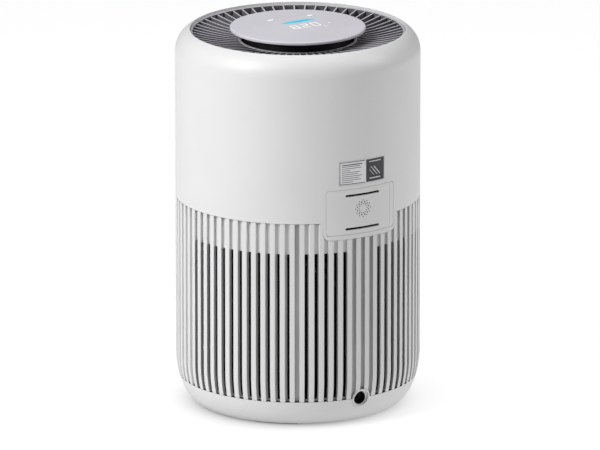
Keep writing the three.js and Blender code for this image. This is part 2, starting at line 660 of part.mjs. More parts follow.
// ---------------------------------------------------------------- fan
function fanDeck() {
  const outer = BODY_RADIUS - SHELL_WALL - CLEARANCE;
  const lipTop = DECK_BOTTOM + BELLMOUTH_HEIGHT;
  const flare = 9;
  const profile = closed([
    [EYE_RADIUS + flare, DECK_BOTTOM],
    [outer, DECK_BOTTOM],
    [outer, DECK_TOP],
    [EYE_RADIUS + flare, DECK_TOP],
    [EYE_RADIUS + BELLMOUTH_WALL + 1, DECK_TOP + 1.2],
    [EYE_RADIUS + BELLMOUTH_WALL, lipTop],
    [EYE_RADIUS, lipTop],
    [EYE_RADIUS, DECK_TOP],
    [EYE_RADIUS + flare / 3, DECK_BOTTOM + 1],
  ]);
  let deck = solid(turned(profile));
  for (const hole of deckScrewHoles(DECK_BOTTOM - 1, DECK_TOP + 1)) deck = deck.subtract(hole);
  deck = deck.subtract(leadHole(DECK_BOTTOM - 1, DECK_TOP + 1));
  return piece('fan_deck', shapeOf(deck), plastic(GREY, 0.6));
}

function inletGuard() {
  const outer = EYE_RADIUS - CLEARANCE;
  const low = DECK_TOP - 0.5;
  const high = DECK_TOP + 2;
  let guard = solid(ring(outer - GUARD_WIRE, outer, low, high, 24));
  const middle = outer / 2 + GUARD_WIRE;
  guard = guard.add(solid(ring(middle - GUARD_WIRE, middle, low, high, 24)));
  guard = guard.add(solid(puck(GUARD_HUB_RADIUS, low, high, SMALL_FACETS)));
  for (let i = 0; i < GUARD_BARS; i += 1) {
    const bar = block(2 * outer - GUARD_WIRE, GUARD_WIRE, high - low, 0, 0, (low + high) / 2);
    guard = guard.add(solid(bar.rotateZ(i * Math.PI / GUARD_BARS)));
  }
  return piece('inlet_guard', shapeOf(guard), plastic(BLACK, 0.6));
}

function bladeOutline(innerRadius, outerRadius) {
  const steps = 3;
  const sweep = THREE.MathUtils.degToRad(BLADE_SWEEP);
  const along = (side) => Array.from({ length: steps + 1 }, (_, i) => {
    const share = i / steps;
    const radius = innerRadius + (outerRadius - innerRadius) * share;
    const angle = -sweep * share ** 1.15 + side * BLADE_THICKNESS / 2 / radius;
    return new THREE.Vector2(radius * Math.cos(angle), radius * Math.sin(angle));
  });
  return new THREE.Shape([...along(-1), ...along(1).reverse()]);
}

function impeller() {
  const shaftBore = SHAFT_RADIUS + CLEARANCE;
  const hubLow = IMPELLER_TOP - IMPELLER_HUB_DEPTH;
  const [foot, waist, root] = IMPELLER_HUB_RADII;
  const back = turned(closed([
    [shaftBore, hubLow],
    [foot, hubLow],
    [waist, IMPELLER_TOP - 3 * IMPELLER_SKIN],
    [root, IMPELLER_TOP - IMPELLER_SKIN],
    [IMPELLER_RADIUS, IMPELLER_TOP - IMPELLER_SKIN],
    [IMPELLER_RADIUS, IMPELLER_TOP],
    [shaftBore, IMPELLER_TOP],
  ]));
  const eye = EYE_RADIUS + BELLMOUTH_WALL + 2;
  const shroud = ring(eye, IMPELLER_RADIUS, IMPELLER_BOTTOM, IMPELLER_BOTTOM + IMPELLER_SKIN);
  let wheel = solid(back).add(solid(shroud));
  const settings = {
    depth: IMPELLER_HEIGHT - IMPELLER_SKIN,
    bevelEnabled: false,
  };
  const blade = new THREE.ExtrudeGeometry(bladeOutline(eye - 12, IMPELLER_RADIUS - 0.5), settings)
    .translate(0, 0, IMPELLER_BOTTOM + IMPELLER_SKIN / 2);
  for (let i = 0; i < BLADE_COUNT; i += 1) {
    wheel = wheel.add(solid(blade.clone().rotateZ(i * 2 * Math.PI / BLADE_COUNT)));
  }
  return piece('impeller', shapeOf(wheel), plastic(BLACK, 0.5));
}

function impellerNut() {
  const top = IMPELLER_TOP - IMPELLER_HUB_DEPTH - CLEARANCE;
  const hex = new THREE.CylinderGeometry(IMPELLER_NUT_RADIUS, IMPELLER_NUT_RADIUS,
    IMPELLER_NUT_HEIGHT, 6).rotateX(Math.PI / 2);
  const bore = puck(SHAFT_RADIUS + CLEARANCE, -IMPELLER_NUT_HEIGHT, IMPELLER_NUT_HEIGHT,
    SMALL_FACETS);
  const nut = solid(hex).subtract(solid(bore));
  const mesh = piece('impeller_nut', shapeOf(nut), metal(STEEL, 0.3));
  mesh.position.z = top - IMPELLER_NUT_HEIGHT / 2;
  return mesh;
}

const ROTOR_BOTTOM = MOTOR_FLANGE_TOP + 1.2;
const ROTOR_TOP = ROTOR_BOTTOM + ROTOR_HEIGHT;
const TUBE_TOP = ROTOR_TOP - ROTOR_WALL - 2.5;

function motorRotor() {
  const bore = SHAFT_RADIUS + CLEARANCE;
  const inside = ROTOR_RADIUS - ROTOR_WALL;
  const can = turned(closed([
    [bore, ROTOR_TOP - ROTOR_WALL],
    [inside, ROTOR_TOP - ROTOR_WALL],
    [inside, ROTOR_BOTTOM],
    [ROTOR_RADIUS, ROTOR_BOTTOM],
    [ROTOR_RADIUS, ROTOR_TOP],
    [bore, ROTOR_TOP],
  ]), 24);
  const shaftLow = IMPELLER_TOP - IMPELLER_HUB_DEPTH - SHAFT_END;
  const shaft = puck(SHAFT_RADIUS, shaftLow, ROTOR_TOP, SMALL_FACETS);
  return [
    piece('motor_rotor', weld(can), metal(STEEL, 0.4)),
    piece('motor_shaft', weld(shaft), metal(STEEL, 0.2)),
  ];
}

function fixedMotorParts() {
  const tubeInner = BEARING_RADIUS + CLEARANCE;
  const tubeOuter = tubeInner + MOTOR_TUBE_WALL;
  const base = turned(closed([
    [tubeInner, MOTOR_FLANGE_BOTTOM],
    [MOTOR_FLANGE_RADIUS, MOTOR_FLANGE_BOTTOM],
    [MOTOR_FLANGE_RADIUS, MOTOR_FLANGE_TOP],
    [tubeOuter, MOTOR_FLANGE_TOP],
    [tubeOuter, TUBE_TOP],
    [tubeInner, TUBE_TOP],
  ]), 24);
  let flange = solid(base);
  for (const hole of motorScrewHoles(MOTOR_FLANGE_BOTTOM - 1, MOTOR_FLANGE_TOP + 1)) {
    flange = flange.subtract(hole);
  }
  const statorLow = MOTOR_FLANGE_TOP + 3;
  const [slotDepth, slotWidth] = STATOR_SLOT;
  let stator = solid(ring(tubeOuter + CLEARANCE, ROTOR_RADIUS - ROTOR_WALL - 1, statorLow,
    statorLow + STATOR_HEIGHT, 3 * STATOR_POLES));
  for (let i = 0; i < STATOR_POLES; i += 1) {
    const slot = block(slotDepth, slotWidth, 2 * STATOR_HEIGHT, ROTOR_RADIUS - slotDepth / 2, 0,
      statorLow + STATOR_HEIGHT / 2);
    stator = stator.subtract(solid(slot.rotateZ(i * 2 * Math.PI / STATOR_POLES)));
  }
  const bearing = () => ring(SHAFT_RADIUS + CLEARANCE, BEARING_RADIUS, 0, BEARING_HEIGHT,
    SMALL_FACETS);
  const lower = piece('bearing_lower', weld(bearing()), metal(STEEL, 0.25));
  lower.position.z = MOTOR_FLANGE_BOTTOM + 0.5;
  const upper = piece('bearing_upper', weld(bearing()), metal(STEEL, 0.25));
  upper.position.z = TUBE_TOP - BEARING_HEIGHT - 0.5;
  return [
    piece('motor_base', shapeOf(flange), metal(0xa7a9ac, 0.5)),
    piece('motor_stator', shapeOf(stator), metal(0x8c6b4f, 0.5)),
    lower,
    upper,
  ];
}

function motorScrewAngle(i) {
  return REAR + i * 2 * Math.PI / MOTOR_SCREW_COUNT;
}

function motorScrewHoles(low, high, radius = SCREW_RADIUS + CLEARANCE) {
  const hole = puck(radius, low, high, 8).translate(MOTOR_SCREW_CIRCLE, 0, 0);
  return Array.from({ length: MOTOR_SCREW_COUNT },
    (_, i) => solid(hole.clone().rotateZ(motorScrewAngle(i))));
}

function screw(name, length) {
  const profile = [
    [0, -length],
    [SCREW_RADIUS, -length],
    [SCREW_RADIUS, 0],
    [SCREW_HEAD_RADIUS, 0],
    [SCREW_HEAD_RADIUS, SCREW_HEAD_HEIGHT * 0.6],
    [SCREW_HEAD_RADIUS * 0.6, SCREW_HEAD_HEIGHT],
    [0, SCREW_HEAD_HEIGHT],
  ];
  return piece(name, weld(turned(profile, 8)), metal(STEEL, 0.3));
}

function motorMounts() {
  const holder = new THREE.Group();
  for (let i = 0; i < MOTOR_SCREW_COUNT; i += 1) {
    const angle = motorScrewAngle(i);
    const isolator = piece(`motor_isolator_${i + 1}`, weld(ring(SCREW_RADIUS + CLEARANCE,
      ISOLATOR_RADIUS, 0, ISOLATOR_HEIGHT, SMALL_FACETS)), plastic(RUBBER, 0.85));
    const place = new THREE.Vector3(Math.cos(angle), Math.sin(angle), 0)
      .multiplyScalar(MOTOR_SCREW_CIRCLE);
    isolator.position.copy(place).setZ(HUB_CUP_FLOOR + CLEARANCE);
    const fixing = screw(`motor_screw_${i + 1}`, MOTOR_FLANGE_TOP - HUB_CUP_BOTTOM);
    fixing.position.copy(place).setZ(MOTOR_FLANGE_TOP + CLEARANCE);
    holder.add(isolator, fixing);
  }
  return holder;
}

function fanDuct() {
  const inner = DUCT_RADIUS - DUCT_WALL;
  const flareTop = OUTLET_BOTTOM - CLEARANCE;
  const flareRadius = RIM_RADIUS - CLEARANCE - OUTLET_RING_WALL;
  const flareLow = flareTop - FLARE_HEIGHT;
  const wall = turned(closed([
    [inner, DECK_TOP + CLEARANCE],
    [DUCT_RADIUS, DECK_TOP + CLEARANCE],
    [DUCT_RADIUS, flareLow],
    [flareRadius - 1, flareTop - FLARE_LIP],
    [flareRadius + OUTLET_RING_WALL, flareTop],
    [flareRadius, flareTop],
    [inner, flareLow],
  ]));
  const cupRadius = IMPELLER_RADIUS;
  const cup = turned(closed([
    [MOTOR_HOLE_RADIUS, HUB_CUP_BOTTOM],
    [cupRadius, HUB_CUP_BOTTOM],
    [cupRadius, HUB_CUP_TOP],
    [cupRadius - DUCT_WALL, HUB_CUP_TOP],
    [cupRadius - DUCT_WALL, HUB_CUP_FLOOR],
    [MOTOR_HOLE_RADIUS, HUB_CUP_FLOOR],
  ]));
  let duct = solid(wall).add(solid(cup));
  const span = inner - cupRadius + 2;
  for (let i = 0; i < VANE_COUNT; i += 1) {
    const vane = block(span, VANE_THICKNESS, HUB_CUP_HEIGHT * 0.7)
      .rotateX(THREE.MathUtils.degToRad(VANE_TILT))
      .translate(cupRadius + span / 2 - 1, 0, (HUB_CUP_BOTTOM + HUB_CUP_TOP) / 2)
      .rotateZ(i * 2 * Math.PI / VANE_COUNT);
    duct = duct.add(solid(vane));
  }
  const holes = motorScrewHoles(HUB_CUP_BOTTOM - 1, HUB_CUP_FLOOR + 1);
  for (const hole of holes) duct = duct.subtract(hole);
  return piece('fan_duct', shapeOf(duct), plastic(GREY, 0.6));
}

function innerCone() {
  const low = HUB_CUP_TOP + CLEARANCE;
  const high = HUB_PLATE_BOTTOM - CLEARANCE;
  const wide = IMPELLER_RADIUS;
  const narrow = HUB_RADIUS;
  const wall = DUCT_WALL;
  const cone = turned(closed([
    [wide - wall, low],
    [wide, low],
    [narrow, high],
    [narrow - wall, high],
  ]));
  return piece('inner_cone', weld(cone), plastic(GREY, 0.6));
}

function deckScrews() {
  const holder = new THREE.Group();
  for (let i = 0; i < DECK_SCREW_COUNT; i += 1) {
    const fixing = screw(`deck_screw_${i + 1}`, DECK_THICKNESS + FLANGE_THICKNESS);
    const angle = deckScrewAngle(i);
    fixing.position.set(DECK_SCREW_CIRCLE * Math.cos(angle), DECK_SCREW_CIRCLE * Math.sin(angle),
      DECK_TOP + CLEARANCE);
    holder.add(fixing);
  }
  return holder;
}

// ---------------------------------------------------------------- outlet and display
function outletGrille() {
  const outer = RIM_RADIUS - CLEARANCE;
  const ringInner = outer - OUTLET_RING_WALL;
  const hubTop = HUB_TOP;
  const hub = turned(closed([
    [WIRE_HOLE_RADIUS, HUB_PLATE_BOTTOM],
    [HUB_RADIUS, HUB_PLATE_BOTTOM],
    [HUB_RADIUS, hubTop],
    [HUB_RADIUS - HUB_WALL, hubTop],
    [HUB_RADIUS - HUB_WALL, HUB_PLATE_TOP],
    [WIRE_HOLE_RADIUS, HUB_PLATE_TOP],
  ]), FIN_COUNT);
  let grille = solid(ring(ringInner, outer, OUTLET_BOTTOM, OUTLET_TOP, FIN_COUNT)).add(solid(hub));
  const outline = [
    [HUB_RADIUS - HUB_WALL / 2, HUB_PLATE_BOTTOM + 1],
    [ringInner + OUTLET_RING_WALL / 2, OUTLET_BOTTOM + 1],
    [ringInner + OUTLET_RING_WALL / 2, OUTLET_TOP - 0.4],
    [HUB_RADIUS - HUB_WALL / 2, hubTop - 0.4],
  ];
  const fin = radialPlate(outline, FIN_THICKNESS);
  for (let i = 0; i < FIN_COUNT; i += 1) {
    grille = grille.add(solid(fin.clone().rotateZ(REAR + i * 2 * Math.PI / FIN_COUNT)));
  }
  return piece('outlet_grille', shapeOf(grille), plastic(GREY, 0.5));
}

function display() {
  const neckInner = NECK_RADIUS - NECK_WALL;
  const neck = ring(neckInner, NECK_RADIUS, HUB_PLATE_TOP + CLEARANCE, DISC_BOTTOM - CLEARANCE,
    SMOOTH_FACETS);
  const skirt = neckInner - CLEARANCE;
  const lip = DISC_THICKNESS / 4;
  const disc = turned([
    [0, DISC_BOTTOM],
    [skirt - DISC_SKIRT.wall, DISC_BOTTOM],
    [skirt - DISC_SKIRT.wall, DISC_BOTTOM - DISC_SKIRT.height],
    [skirt, DISC_BOTTOM - DISC_SKIRT.height],
    [skirt, DISC_BOTTOM],
    [DISC_RADIUS - lip, DISC_BOTTOM],
    [DISC_RADIUS, DISC_BOTTOM + lip],
    [DISC_RADIUS, DISC_TOP - lip],
    [DISC_RADIUS - lip, DISC_TOP],
    [0, DISC_TOP],
  ], SMOOTH_FACETS);
  const boardTop = DISC_BOTTOM - DISPLAY_BOARD_DROP;
  const boardRadius = neckInner - SHELL_WALL;
  const guideRadius = boardRadius - SHELL_WALL;
  const board = puck(boardRadius, boardTop - BOARD_THICKNESS, boardTop);
  const guide = puck(guideRadius, boardTop + CLEARANCE, DISC_BOTTOM - CLEARANCE);
  const post = ring(guideRadius - SHELL_WALL, guideRadius, HUB_PLATE_TOP + CLEARANCE,
    boardTop - BOARD_THICKNESS - CLEARANCE);
  return group(
    piece('display_neck', weld(neck), plastic(BLACK, 0.45)),
    piece('display_disc', weld(disc), plastic(LILAC_GREY, 0.35)),
    piece('display_board', weld(board), plastic(GREEN, 0.55)),
    piece('light_guide', weld(guide), plastic(0xf4f4f4, 0.4)),
    piece('board_support', weld(post), plastic(BLACK, 0.6)),
  );
}

// ---------------------------------------------------------------- base, feet and filter
function lugBlock(reach, low, high, length) {
  const inner = OPENING_RADIUS - 3.5;
  const outer = OPENING_RADIUS + reach;
  return block(outer - inner, length, high - low, (inner + outer) / 2, 0, (low + high) / 2);
}

function lugAngle(i) {
  return REAR + THREE.MathUtils.degToRad(LUG_TURN) + i * 2 * Math.PI / LUG_COUNT;
}

function base() {
  const top = BAND_HEIGHT - CLEARANCE / 2;
  const inside = tuckOutline(BASE_PLATE_TOP, top, 2, SHELL_WALL).reverse();
  const profile = closed([
    [OPENING_RADIUS, BASE_UNDERSIDE],
    ...tuckOutline(BASE_UNDERSIDE, top, 4),
    ...inside,
    [OPENING_RADIUS, BASE_PLATE_TOP],
  ]);
  let moulding = solid(turned(profile, CASE_FACETS)).subtract(inletHole());
  const release = THREE.MathUtils.degToRad(TWIST);
  for (let i = 0; i < LUG_COUNT; i += 1) {
    const notch = lugBlock(LUG_REACH + 1, BASE_UNDERSIDE + 1.2, BASE_PLATE_TOP + 1, LUG_LENGTH + 2);
    moulding = moulding.subtract(solid(notch.rotateZ(lugAngle(i) + release)));
  }
  return piece('base', shapeOf(moulding), plastic(WHITE, 0.5));
}

function filterCover() {
  const radius = OPENING_RADIUS - 2 * CLEARANCE;
  const low = BASE_UNDERSIDE;
  const wallOuter = radius - COVER_WALL_INSET;
  const wallInner = wallOuter - COVER_WALL;
  const lugLow = BASE_PLATE_TOP + CLEARANCE;
  const wallTop = lugLow + LUG_HEIGHT;
  const cover = turned([
    [0, low + GRIP_DEPTH],
    [GRIP_RADIUS, low + GRIP_DEPTH],
    [GRIP_RADIUS + 2, low],
    [radius, low],
    [radius, low + COVER_FLOOR],
    [wallOuter, low + COVER_FLOOR],
    [wallOuter, wallTop],
    [wallInner, wallTop],
    [wallInner, low + COVER_FLOOR],
    [GRIP_RADIUS + COVER_FLOOR + 2, low + COVER_FLOOR],
    [GRIP_RADIUS + COVER_FLOOR, COVER_INNER_TOP],
    [0, COVER_INNER_TOP],
  ], SMOOTH_FACETS);
  const bar = block(2 * GRIP_RADIUS + 2, GRIP_BAR_WIDTH, GRIP_DEPTH + 1, 0, 0,
    low + (GRIP_DEPTH + 1) / 2);
  let whole = solid(cover).add(solid(bar));
  for (let i = 0; i < LUG_COUNT; i += 1) {
    const lug = lugBlock(LUG_REACH, lugLow, wallTop, LUG_LENGTH).rotateZ(lugAngle(i));
    whole = whole.add(solid(lug));
  }
  return piece('filter_cover', shapeOf(whole), plastic(WHITE, 0.5));
}

function feet() {
  const holder = new THREE.Group();
  const middle = (OPENING_RADIUS + bodyRadiusAt(BASE_UNDERSIDE)) / 2;
  const half = THREE.MathUtils.degToRad(FOOT_SPAN) / 2;
  const shape = new THREE.Shape();
  shape.absarc(0, 0, middle + FOOT_WIDTH / 2, -half, half, false);
  shape.absarc(0, 0, middle - FOOT_WIDTH / 2, half, -half, true);
  const settings = { depth: FOOT_THICKNESS, bevelEnabled: false, curveSegments: 3 };
  const pad = weld(new THREE.ExtrudeGeometry(shape, settings));
  for (let i = 0; i < FOOT_COUNT; i += 1) {
    const foot = piece(`foot_${i + 1}`, pad.clone(), plastic(RUBBER, 0.9));
    foot.rotation.z = REAR + (i + 0.5) * 2 * Math.PI / FOOT_COUNT;
    holder.add(foot);
  }
  return holder;
}

function filter() {
  const inner = FILTER_RADIUS - FILTER_DEPTH;
  const low = FILTER_BOTTOM;
  const mediaLow = low + FILTER_CAP + CLEARANCE;
  const mediaHigh = CAP_TOP - FILTER_CAP - CLEARANCE;
  const recess = inner - 4;
  const bottomCap = turned([
    [0, low + 2],
    [recess, low + 2],
    [recess, low],
    [FILTER_RADIUS, low],
    [FILTER_RADIUS, low + FILTER_CAP],
    [0, low + FILTER_CAP],
  ]);
  const topCap = ring(inner, FILTER_RADIUS, CAP_TOP - FILTER_CAP, CAP_TOP);
  const outer = FILTER_RADIUS - 1;
  const sleeve = ring(outer - SLEEVE_THICKNESS, outer, mediaLow, mediaHigh);
  const media = ring(inner + 1, outer - SLEEVE_THICKNESS - CLEARANCE, mediaLow, mediaHigh);
  const sealInner = inner + 2;
  const seal = ring(sealInner, sealInner + SEAL_WIDTH, CAP_TOP + CLEARANCE, SEAL_TOP);
  const tabShape = new THREE.Shape();
  tabShape.absarc(PULL_TAB.half, 0, PULL_TAB.radius, -Math.PI / 2, Math.PI / 2);
  tabShape.absarc(-PULL_TAB.half, 0, PULL_TAB.radius, Math.PI / 2, 1.5 * Math.PI);
  const settings = { depth: PULL_TAB.thickness, bevelEnabled: false, curveSegments: 5 };
  const tab = weld(new THREE.ExtrudeGeometry(tabShape, settings));
  const pullTab = piece('filter_pull_tab', tab, plastic(0xd8d8d4, 0.8));
  pullTab.position.z = low + 0.6;
  return group(
    piece('filter_bottom_cap', weld(bottomCap), plastic(BLACK, 0.6)),
    piece('filter_top_cap', weld(topCap), plastic(BLACK, 0.6)),
    piece('filter_sleeve', weld(sleeve), plastic(BLACK, 0.8)),
    piece('filter_media', weld(media), plastic(0xe6e4de, 0.9)),
    piece('filter_seal', weld(seal), plastic(RUBBER, 0.95)),
    pullTab,
  );
}

// ---------------------------------------------------------------- assembly
const purifier = group(
  intakeGrille(),
  upperShell(),
  infoLabel(),
  sensorDoor(),
  sensorBay(),
  powerInlet(),
  powerLead(),
  controlBoard(),
  fanDeck(),
  inletGuard(),
  impeller(),
  impellerNut(),
  ...motorRotor(),
  ...fixedMotorParts(),
  motorMounts(),
  fanDuct(),
  innerCone(),
  deckScrews(),
  outletGrille(),
  display(),
  base(),
  filterCover(),
  feet(),
  filter(),
);

export default purifier;
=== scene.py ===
"""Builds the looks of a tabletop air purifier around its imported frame."""
import math

import bmesh
import bpy
from mathutils import Matrix, Vector


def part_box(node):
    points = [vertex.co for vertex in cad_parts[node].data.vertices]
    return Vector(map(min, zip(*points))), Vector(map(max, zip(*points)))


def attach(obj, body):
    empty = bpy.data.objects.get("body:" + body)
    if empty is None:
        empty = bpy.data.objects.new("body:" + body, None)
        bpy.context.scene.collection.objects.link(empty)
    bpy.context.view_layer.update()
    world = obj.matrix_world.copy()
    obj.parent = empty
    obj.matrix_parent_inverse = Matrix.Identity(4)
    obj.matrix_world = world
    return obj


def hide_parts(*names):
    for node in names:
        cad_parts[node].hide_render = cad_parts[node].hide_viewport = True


bl_info = {
    "name": "Tabletop air purifier",
    "version": (1, 0, 0),
    "blender": (4, 5, 0),
    "location": "3D View > Sidebar > Air purifier",
    "description": "Builds the case, grilles, display, filter and fan of a tabletop air purifier",
    "category": "Add Mesh",
}

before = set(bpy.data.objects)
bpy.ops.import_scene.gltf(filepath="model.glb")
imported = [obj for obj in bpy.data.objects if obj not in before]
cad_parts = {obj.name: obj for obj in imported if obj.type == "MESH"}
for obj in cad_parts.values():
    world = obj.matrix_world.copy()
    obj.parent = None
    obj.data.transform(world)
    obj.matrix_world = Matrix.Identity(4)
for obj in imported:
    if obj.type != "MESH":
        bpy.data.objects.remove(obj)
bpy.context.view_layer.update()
MM = 0.001
TURN = 2 * math.pi
REAR = math.pi / 2


# ------------------------------------------------------------------ places taken from the frame
def span(node):
    """Lowest and highest corner of a node, in millimetres."""
    low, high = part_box(node)
    return low / MM, high / MM


def radius_of(node):
    low, high = span(node)
    return (high.x - low.x) / 2


BODY_RADIUS = radius_of("upper_shell")
RIM_TOP = span("upper_shell")[1].z
SEAM = (span("intake_grille")[1].z + span("fan_deck")[0].z) / 2
BAND = (span("base")[1].z + span("intake_grille")[0].z) / 2
BASE_LOW = span("base")[0].z
DISC_RADIUS = radius_of("display_disc")
DISC_TOP = span("display_disc")[1].z
NECK_RADIUS = radius_of("display_neck")
OUTLET_LOW, OUTLET_HIGH = (corner.z for corner in span("outlet_grille"))
OUTLET_RADIUS = radius_of("outlet_grille")
DOOR_LOW, DOOR_HIGH = span("sensor_door")
LABEL_LOW, LABEL_HIGH = span("info_label")
INLET_LOW, INLET_HIGH = span("inlet_bezel")
INLET_HEIGHT = (INLET_LOW.z + INLET_HIGH.z) / 2
INLET_RADIUS = (INLET_HIGH.z - INLET_LOW.z) / 2

# Sizes in millimetres that no single node's corners give.
PARTING = 0.15  # half of the joint between two pieces of the case
FIT = 0.3  # clearance round a piece that sits in a hole
TUCK_HEIGHT = 52.0  # height over which the foot of the case curves inwards
TUCK_DEPTH = 25.0
SHOULDER_RADIUS = 24.0
RIM_INSET = 14.5
SHELL_WALL = 3.0
GRILLE_WALL = 4.4
SILL_HEIGHT, SILL_REACH = 2.0, 3.0  # ring that ties the ribs together at their feet
FLANGE_HEIGHT, FLANGE_REACH = 4.0, 8.0  # ledge inside the top of the ribs
BASE_PLATE = 3.4
TONGUE_BORDER, TONGUE_TAPER, TONGUE_CORNER = 4.6, 1.5, 7.5
DOOR_WALL, DOOR_CORNER = 2.6, 3.0
LABEL_DEPTH, LABEL_RECESS, LABEL_CORNER = 0.5, 0.85, 1.5
LABEL_SINK = 0.03  # of the film below the case's surface
LABEL_FIT = 0.25
INLET_RECESS, INLET_RECESS_DEPTH, INLET_BORE = INLET_RADIUS - 1.5, 3.0, 6.6
RING_WALL, RING_HEIGHT = 2.3, 9.6  # outer ring of the outlet grille
HUB_RADIUS, HUB_WALL, HUB_HEIGHT, HUB_FLOOR, HUB_HOLE = 58.0, 2.8, 9.6, 2.5, 6.0
FIN_HEIGHT, FIN_SAG, FIN_HOLLOW, FIN_BITE = 8.0, 1.3, 0.6, 1.0
DISC_THICKNESS, DISC_EDGE = 3.2, 1.3
NECK_WALL, SKIRT_WALL = 2.5, 2.0
COVER_FLOOR, COVER_WALL, GRIP_RADIUS, GRIP_DEPTH, GRIP_WIDTH = 2.8, 2.4, 40.0, 8.0, 13.0
LUG_REACH, LUG_LENGTH, LUG_RELEASE = 4.0, 16.0, math.radians(24)
LUG_TURNS = [REAR + math.radians(20) + TURN * number / 3 for number in range(3)]
BASE_OPENING = radius_of("filter_cover") - LUG_REACH + 0.1
FOOT_WIDTH, FOOT_SPAN = 8.0, math.radians(26)
SLEEVE_WALL, PLEAT_DEPTH, PLEAT_COUNT, PAPER_THICKNESS = 1.2, 19.5, 90, 0.5
TOP_CAP_HOLE, BOTTOM_CAP_RECESS, SEAL_WIDTH = 63.0, 59.0, 12.0

# Fields of slots: first and last gap, counted both ways from the rear, and the gaps along
# which the two sides of the field are drawn from the mould.
FIELDS = ((2, 6, -2.2, -2.2), (8, 19, -13.5, 13.5), (25, 31, -28.0, 28.0),
          (33, 39, -39.0, 39.0))


# ------------------------------------------------------------------ settings shown in the sidebar
def srgb(code):
    """A colour written as a hex code, as the linear values that shaders use."""
    channels = [int(code[i:i + 2], 16) / 255 for i in (1, 3, 5)]
    linear = [c / 12.92 if c <= 0.04045 else ((c + 0.055) / 1.055) ** 2.4 for c in channels]
    return (*linear, 1.0)


class PurifierSizes(bpy.types.PropertyGroup):
    """Sizes of the visible detail."""

    rib_count: bpy.props.IntProperty(
        name="Ribs", description="Ribs round the intake", default=78, min=12)
    gap_width: bpy.props.FloatProperty(
        name="Gap", description="Width of the gap between two ribs",
        default=4.6 * MM, unit="LENGTH")
    groove_depth: bpy.props.FloatProperty(
        name="Groove depth", description="Depth of the gaps that don't go through",
        default=3.2 * MM, unit="LENGTH")
    rib_edge: bpy.props.FloatProperty(
        name="Rib edge", description="Rounding along the edges of a rib",
        default=0.25 * MM, unit="LENGTH")
    slot_top: bpy.props.FloatProperty(
        name="Slot top", description="Height at which the gaps stop going through",
        default=177.0 * MM, unit="LENGTH")
    fin_count: bpy.props.IntProperty(
        name="Fins", description="Fins of the outlet grille", default=60, min=12)
    fin_thickness: bpy.props.FloatProperty(
        name="Fin thickness", description="Thickness of an outlet fin",
        default=1.6 * MM, unit="LENGTH")
    steps: bpy.props.IntProperty(
        name="Steps", description="Steps of a full turn on the large round pieces",
        default=312, min=48)


class PurifierColours(bpy.types.PropertyGroup):
    """Colours that an owner would choose."""

    case: bpy.props.FloatVectorProperty(
        name="Case", description="Moulded case", subtype="COLOR", size=4,
        default=srgb("#D8D8D8"), min=0, max=1)
    glow: bpy.props.FloatVectorProperty(
        name="Light bar", description="Air quality light bar", subtype="COLOR", size=4,
        default=srgb("#1BAAC8"), min=0, max=1)


# ------------------------------------------------------------------ materials
PLASTIC_IOR = 1.52
TONE_SIZE = 45  # mm across a slight change of tone in moulded plastic
GLOSS_SIZE = 9  # mm across a slight change of its gloss


def add(tree, kind, settings=None, inputs=None):
    """Adds a node. An input that is an output socket is linked, any other is a plain value."""
    made = tree.nodes.new(kind)
    for name, value in (settings or {}).items():
        setattr(made, name, value)
    for name, value in (inputs or {}).items():
        if isinstance(value, bpy.types.NodeSocket):
            tree.links.new(value, made.inputs[name])
        else:
            made.inputs[name].default_value = value
    return made


def start_material(name):
    """An empty material with its object coordinates and its surface shader."""
    material = bpy.data.materials.new(name)
    material.use_nodes = True
    tree = material.node_tree
    tree.nodes.clear()
    place = add(tree, "ShaderNodeTexCoord").outputs["Object"]
    surface = add(tree, "ShaderNodeBsdfPrincipled")
    add(tree, "ShaderNodeOutputMaterial", inputs={"Surface": surface.outputs["BSDF"]})
    return material, tree, place, surface


def noise(tree, place, size_mm, detail=2.0):
    """Noise whose lumps are about size_mm across."""
    texture = add(tree, "ShaderNodeTexNoise", inputs={
        "Vector": place, "Scale": 1 / (size_mm * MM), "Detail": detail})
    return texture.outputs["Fac"]


def blend_colours(tree, factor, low, high):
    ramp = add(tree, "ShaderNodeValToRGB", inputs={"Fac": factor})
    ramp.color_ramp.elements[0].position = 0.35
    ramp.color_ramp.elements[1].position = 0.65
    ramp.color_ramp.elements[0].color = low
    ramp.color_ramp.elements[1].color = high
    return ramp.outputs["Color"]


def vary(tree, factor, low, high):
    """A number that runs from low to high with the factor."""
    spread = add(tree, "ShaderNodeMapRange", inputs={
        "Value": factor, "From Min": 0.3, "From Max": 0.7, "To Min": low, "To Max": high})
    return spread.outputs["Result"]


def bumped(tree, surface, height, depth_mm):
    bump = add(tree, "ShaderNodeBump", inputs={"Height": height, "Distance": depth_mm * MM})
    tree.links.new(bump.outputs["Normal"], surface.inputs["Normal"])


def moulded(name, colour, shade, roughness, grain_mm=1.2, depth_mm=0.012, sheen=0.5, coat=0.0):
    """Injection moulded plastic: a fine spark-eroded grain and a faint unevenness of tone."""
    material, tree, place, surface = start_material(name)
    tone = noise(tree, place, TONE_SIZE, 3.0)
    tree.links.new(blend_colours(tree, tone, shade, colour), surface.inputs["Base Color"])
    patchy = noise(tree, place, GLOSS_SIZE)
    tree.links.new(vary(tree, patchy, roughness - 0.03, roughness + 0.03),
                   surface.inputs["Roughness"])
    surface.inputs["IOR"].default_value = PLASTIC_IOR
    surface.inputs["Specular IOR Level"].default_value = sheen
    surface.inputs["Coat Weight"].default_value = coat
    surface.inputs["Coat Roughness"].default_value = 0.25
    bumped(tree, surface, noise(tree, place, grain_mm), depth_mm)
    return material


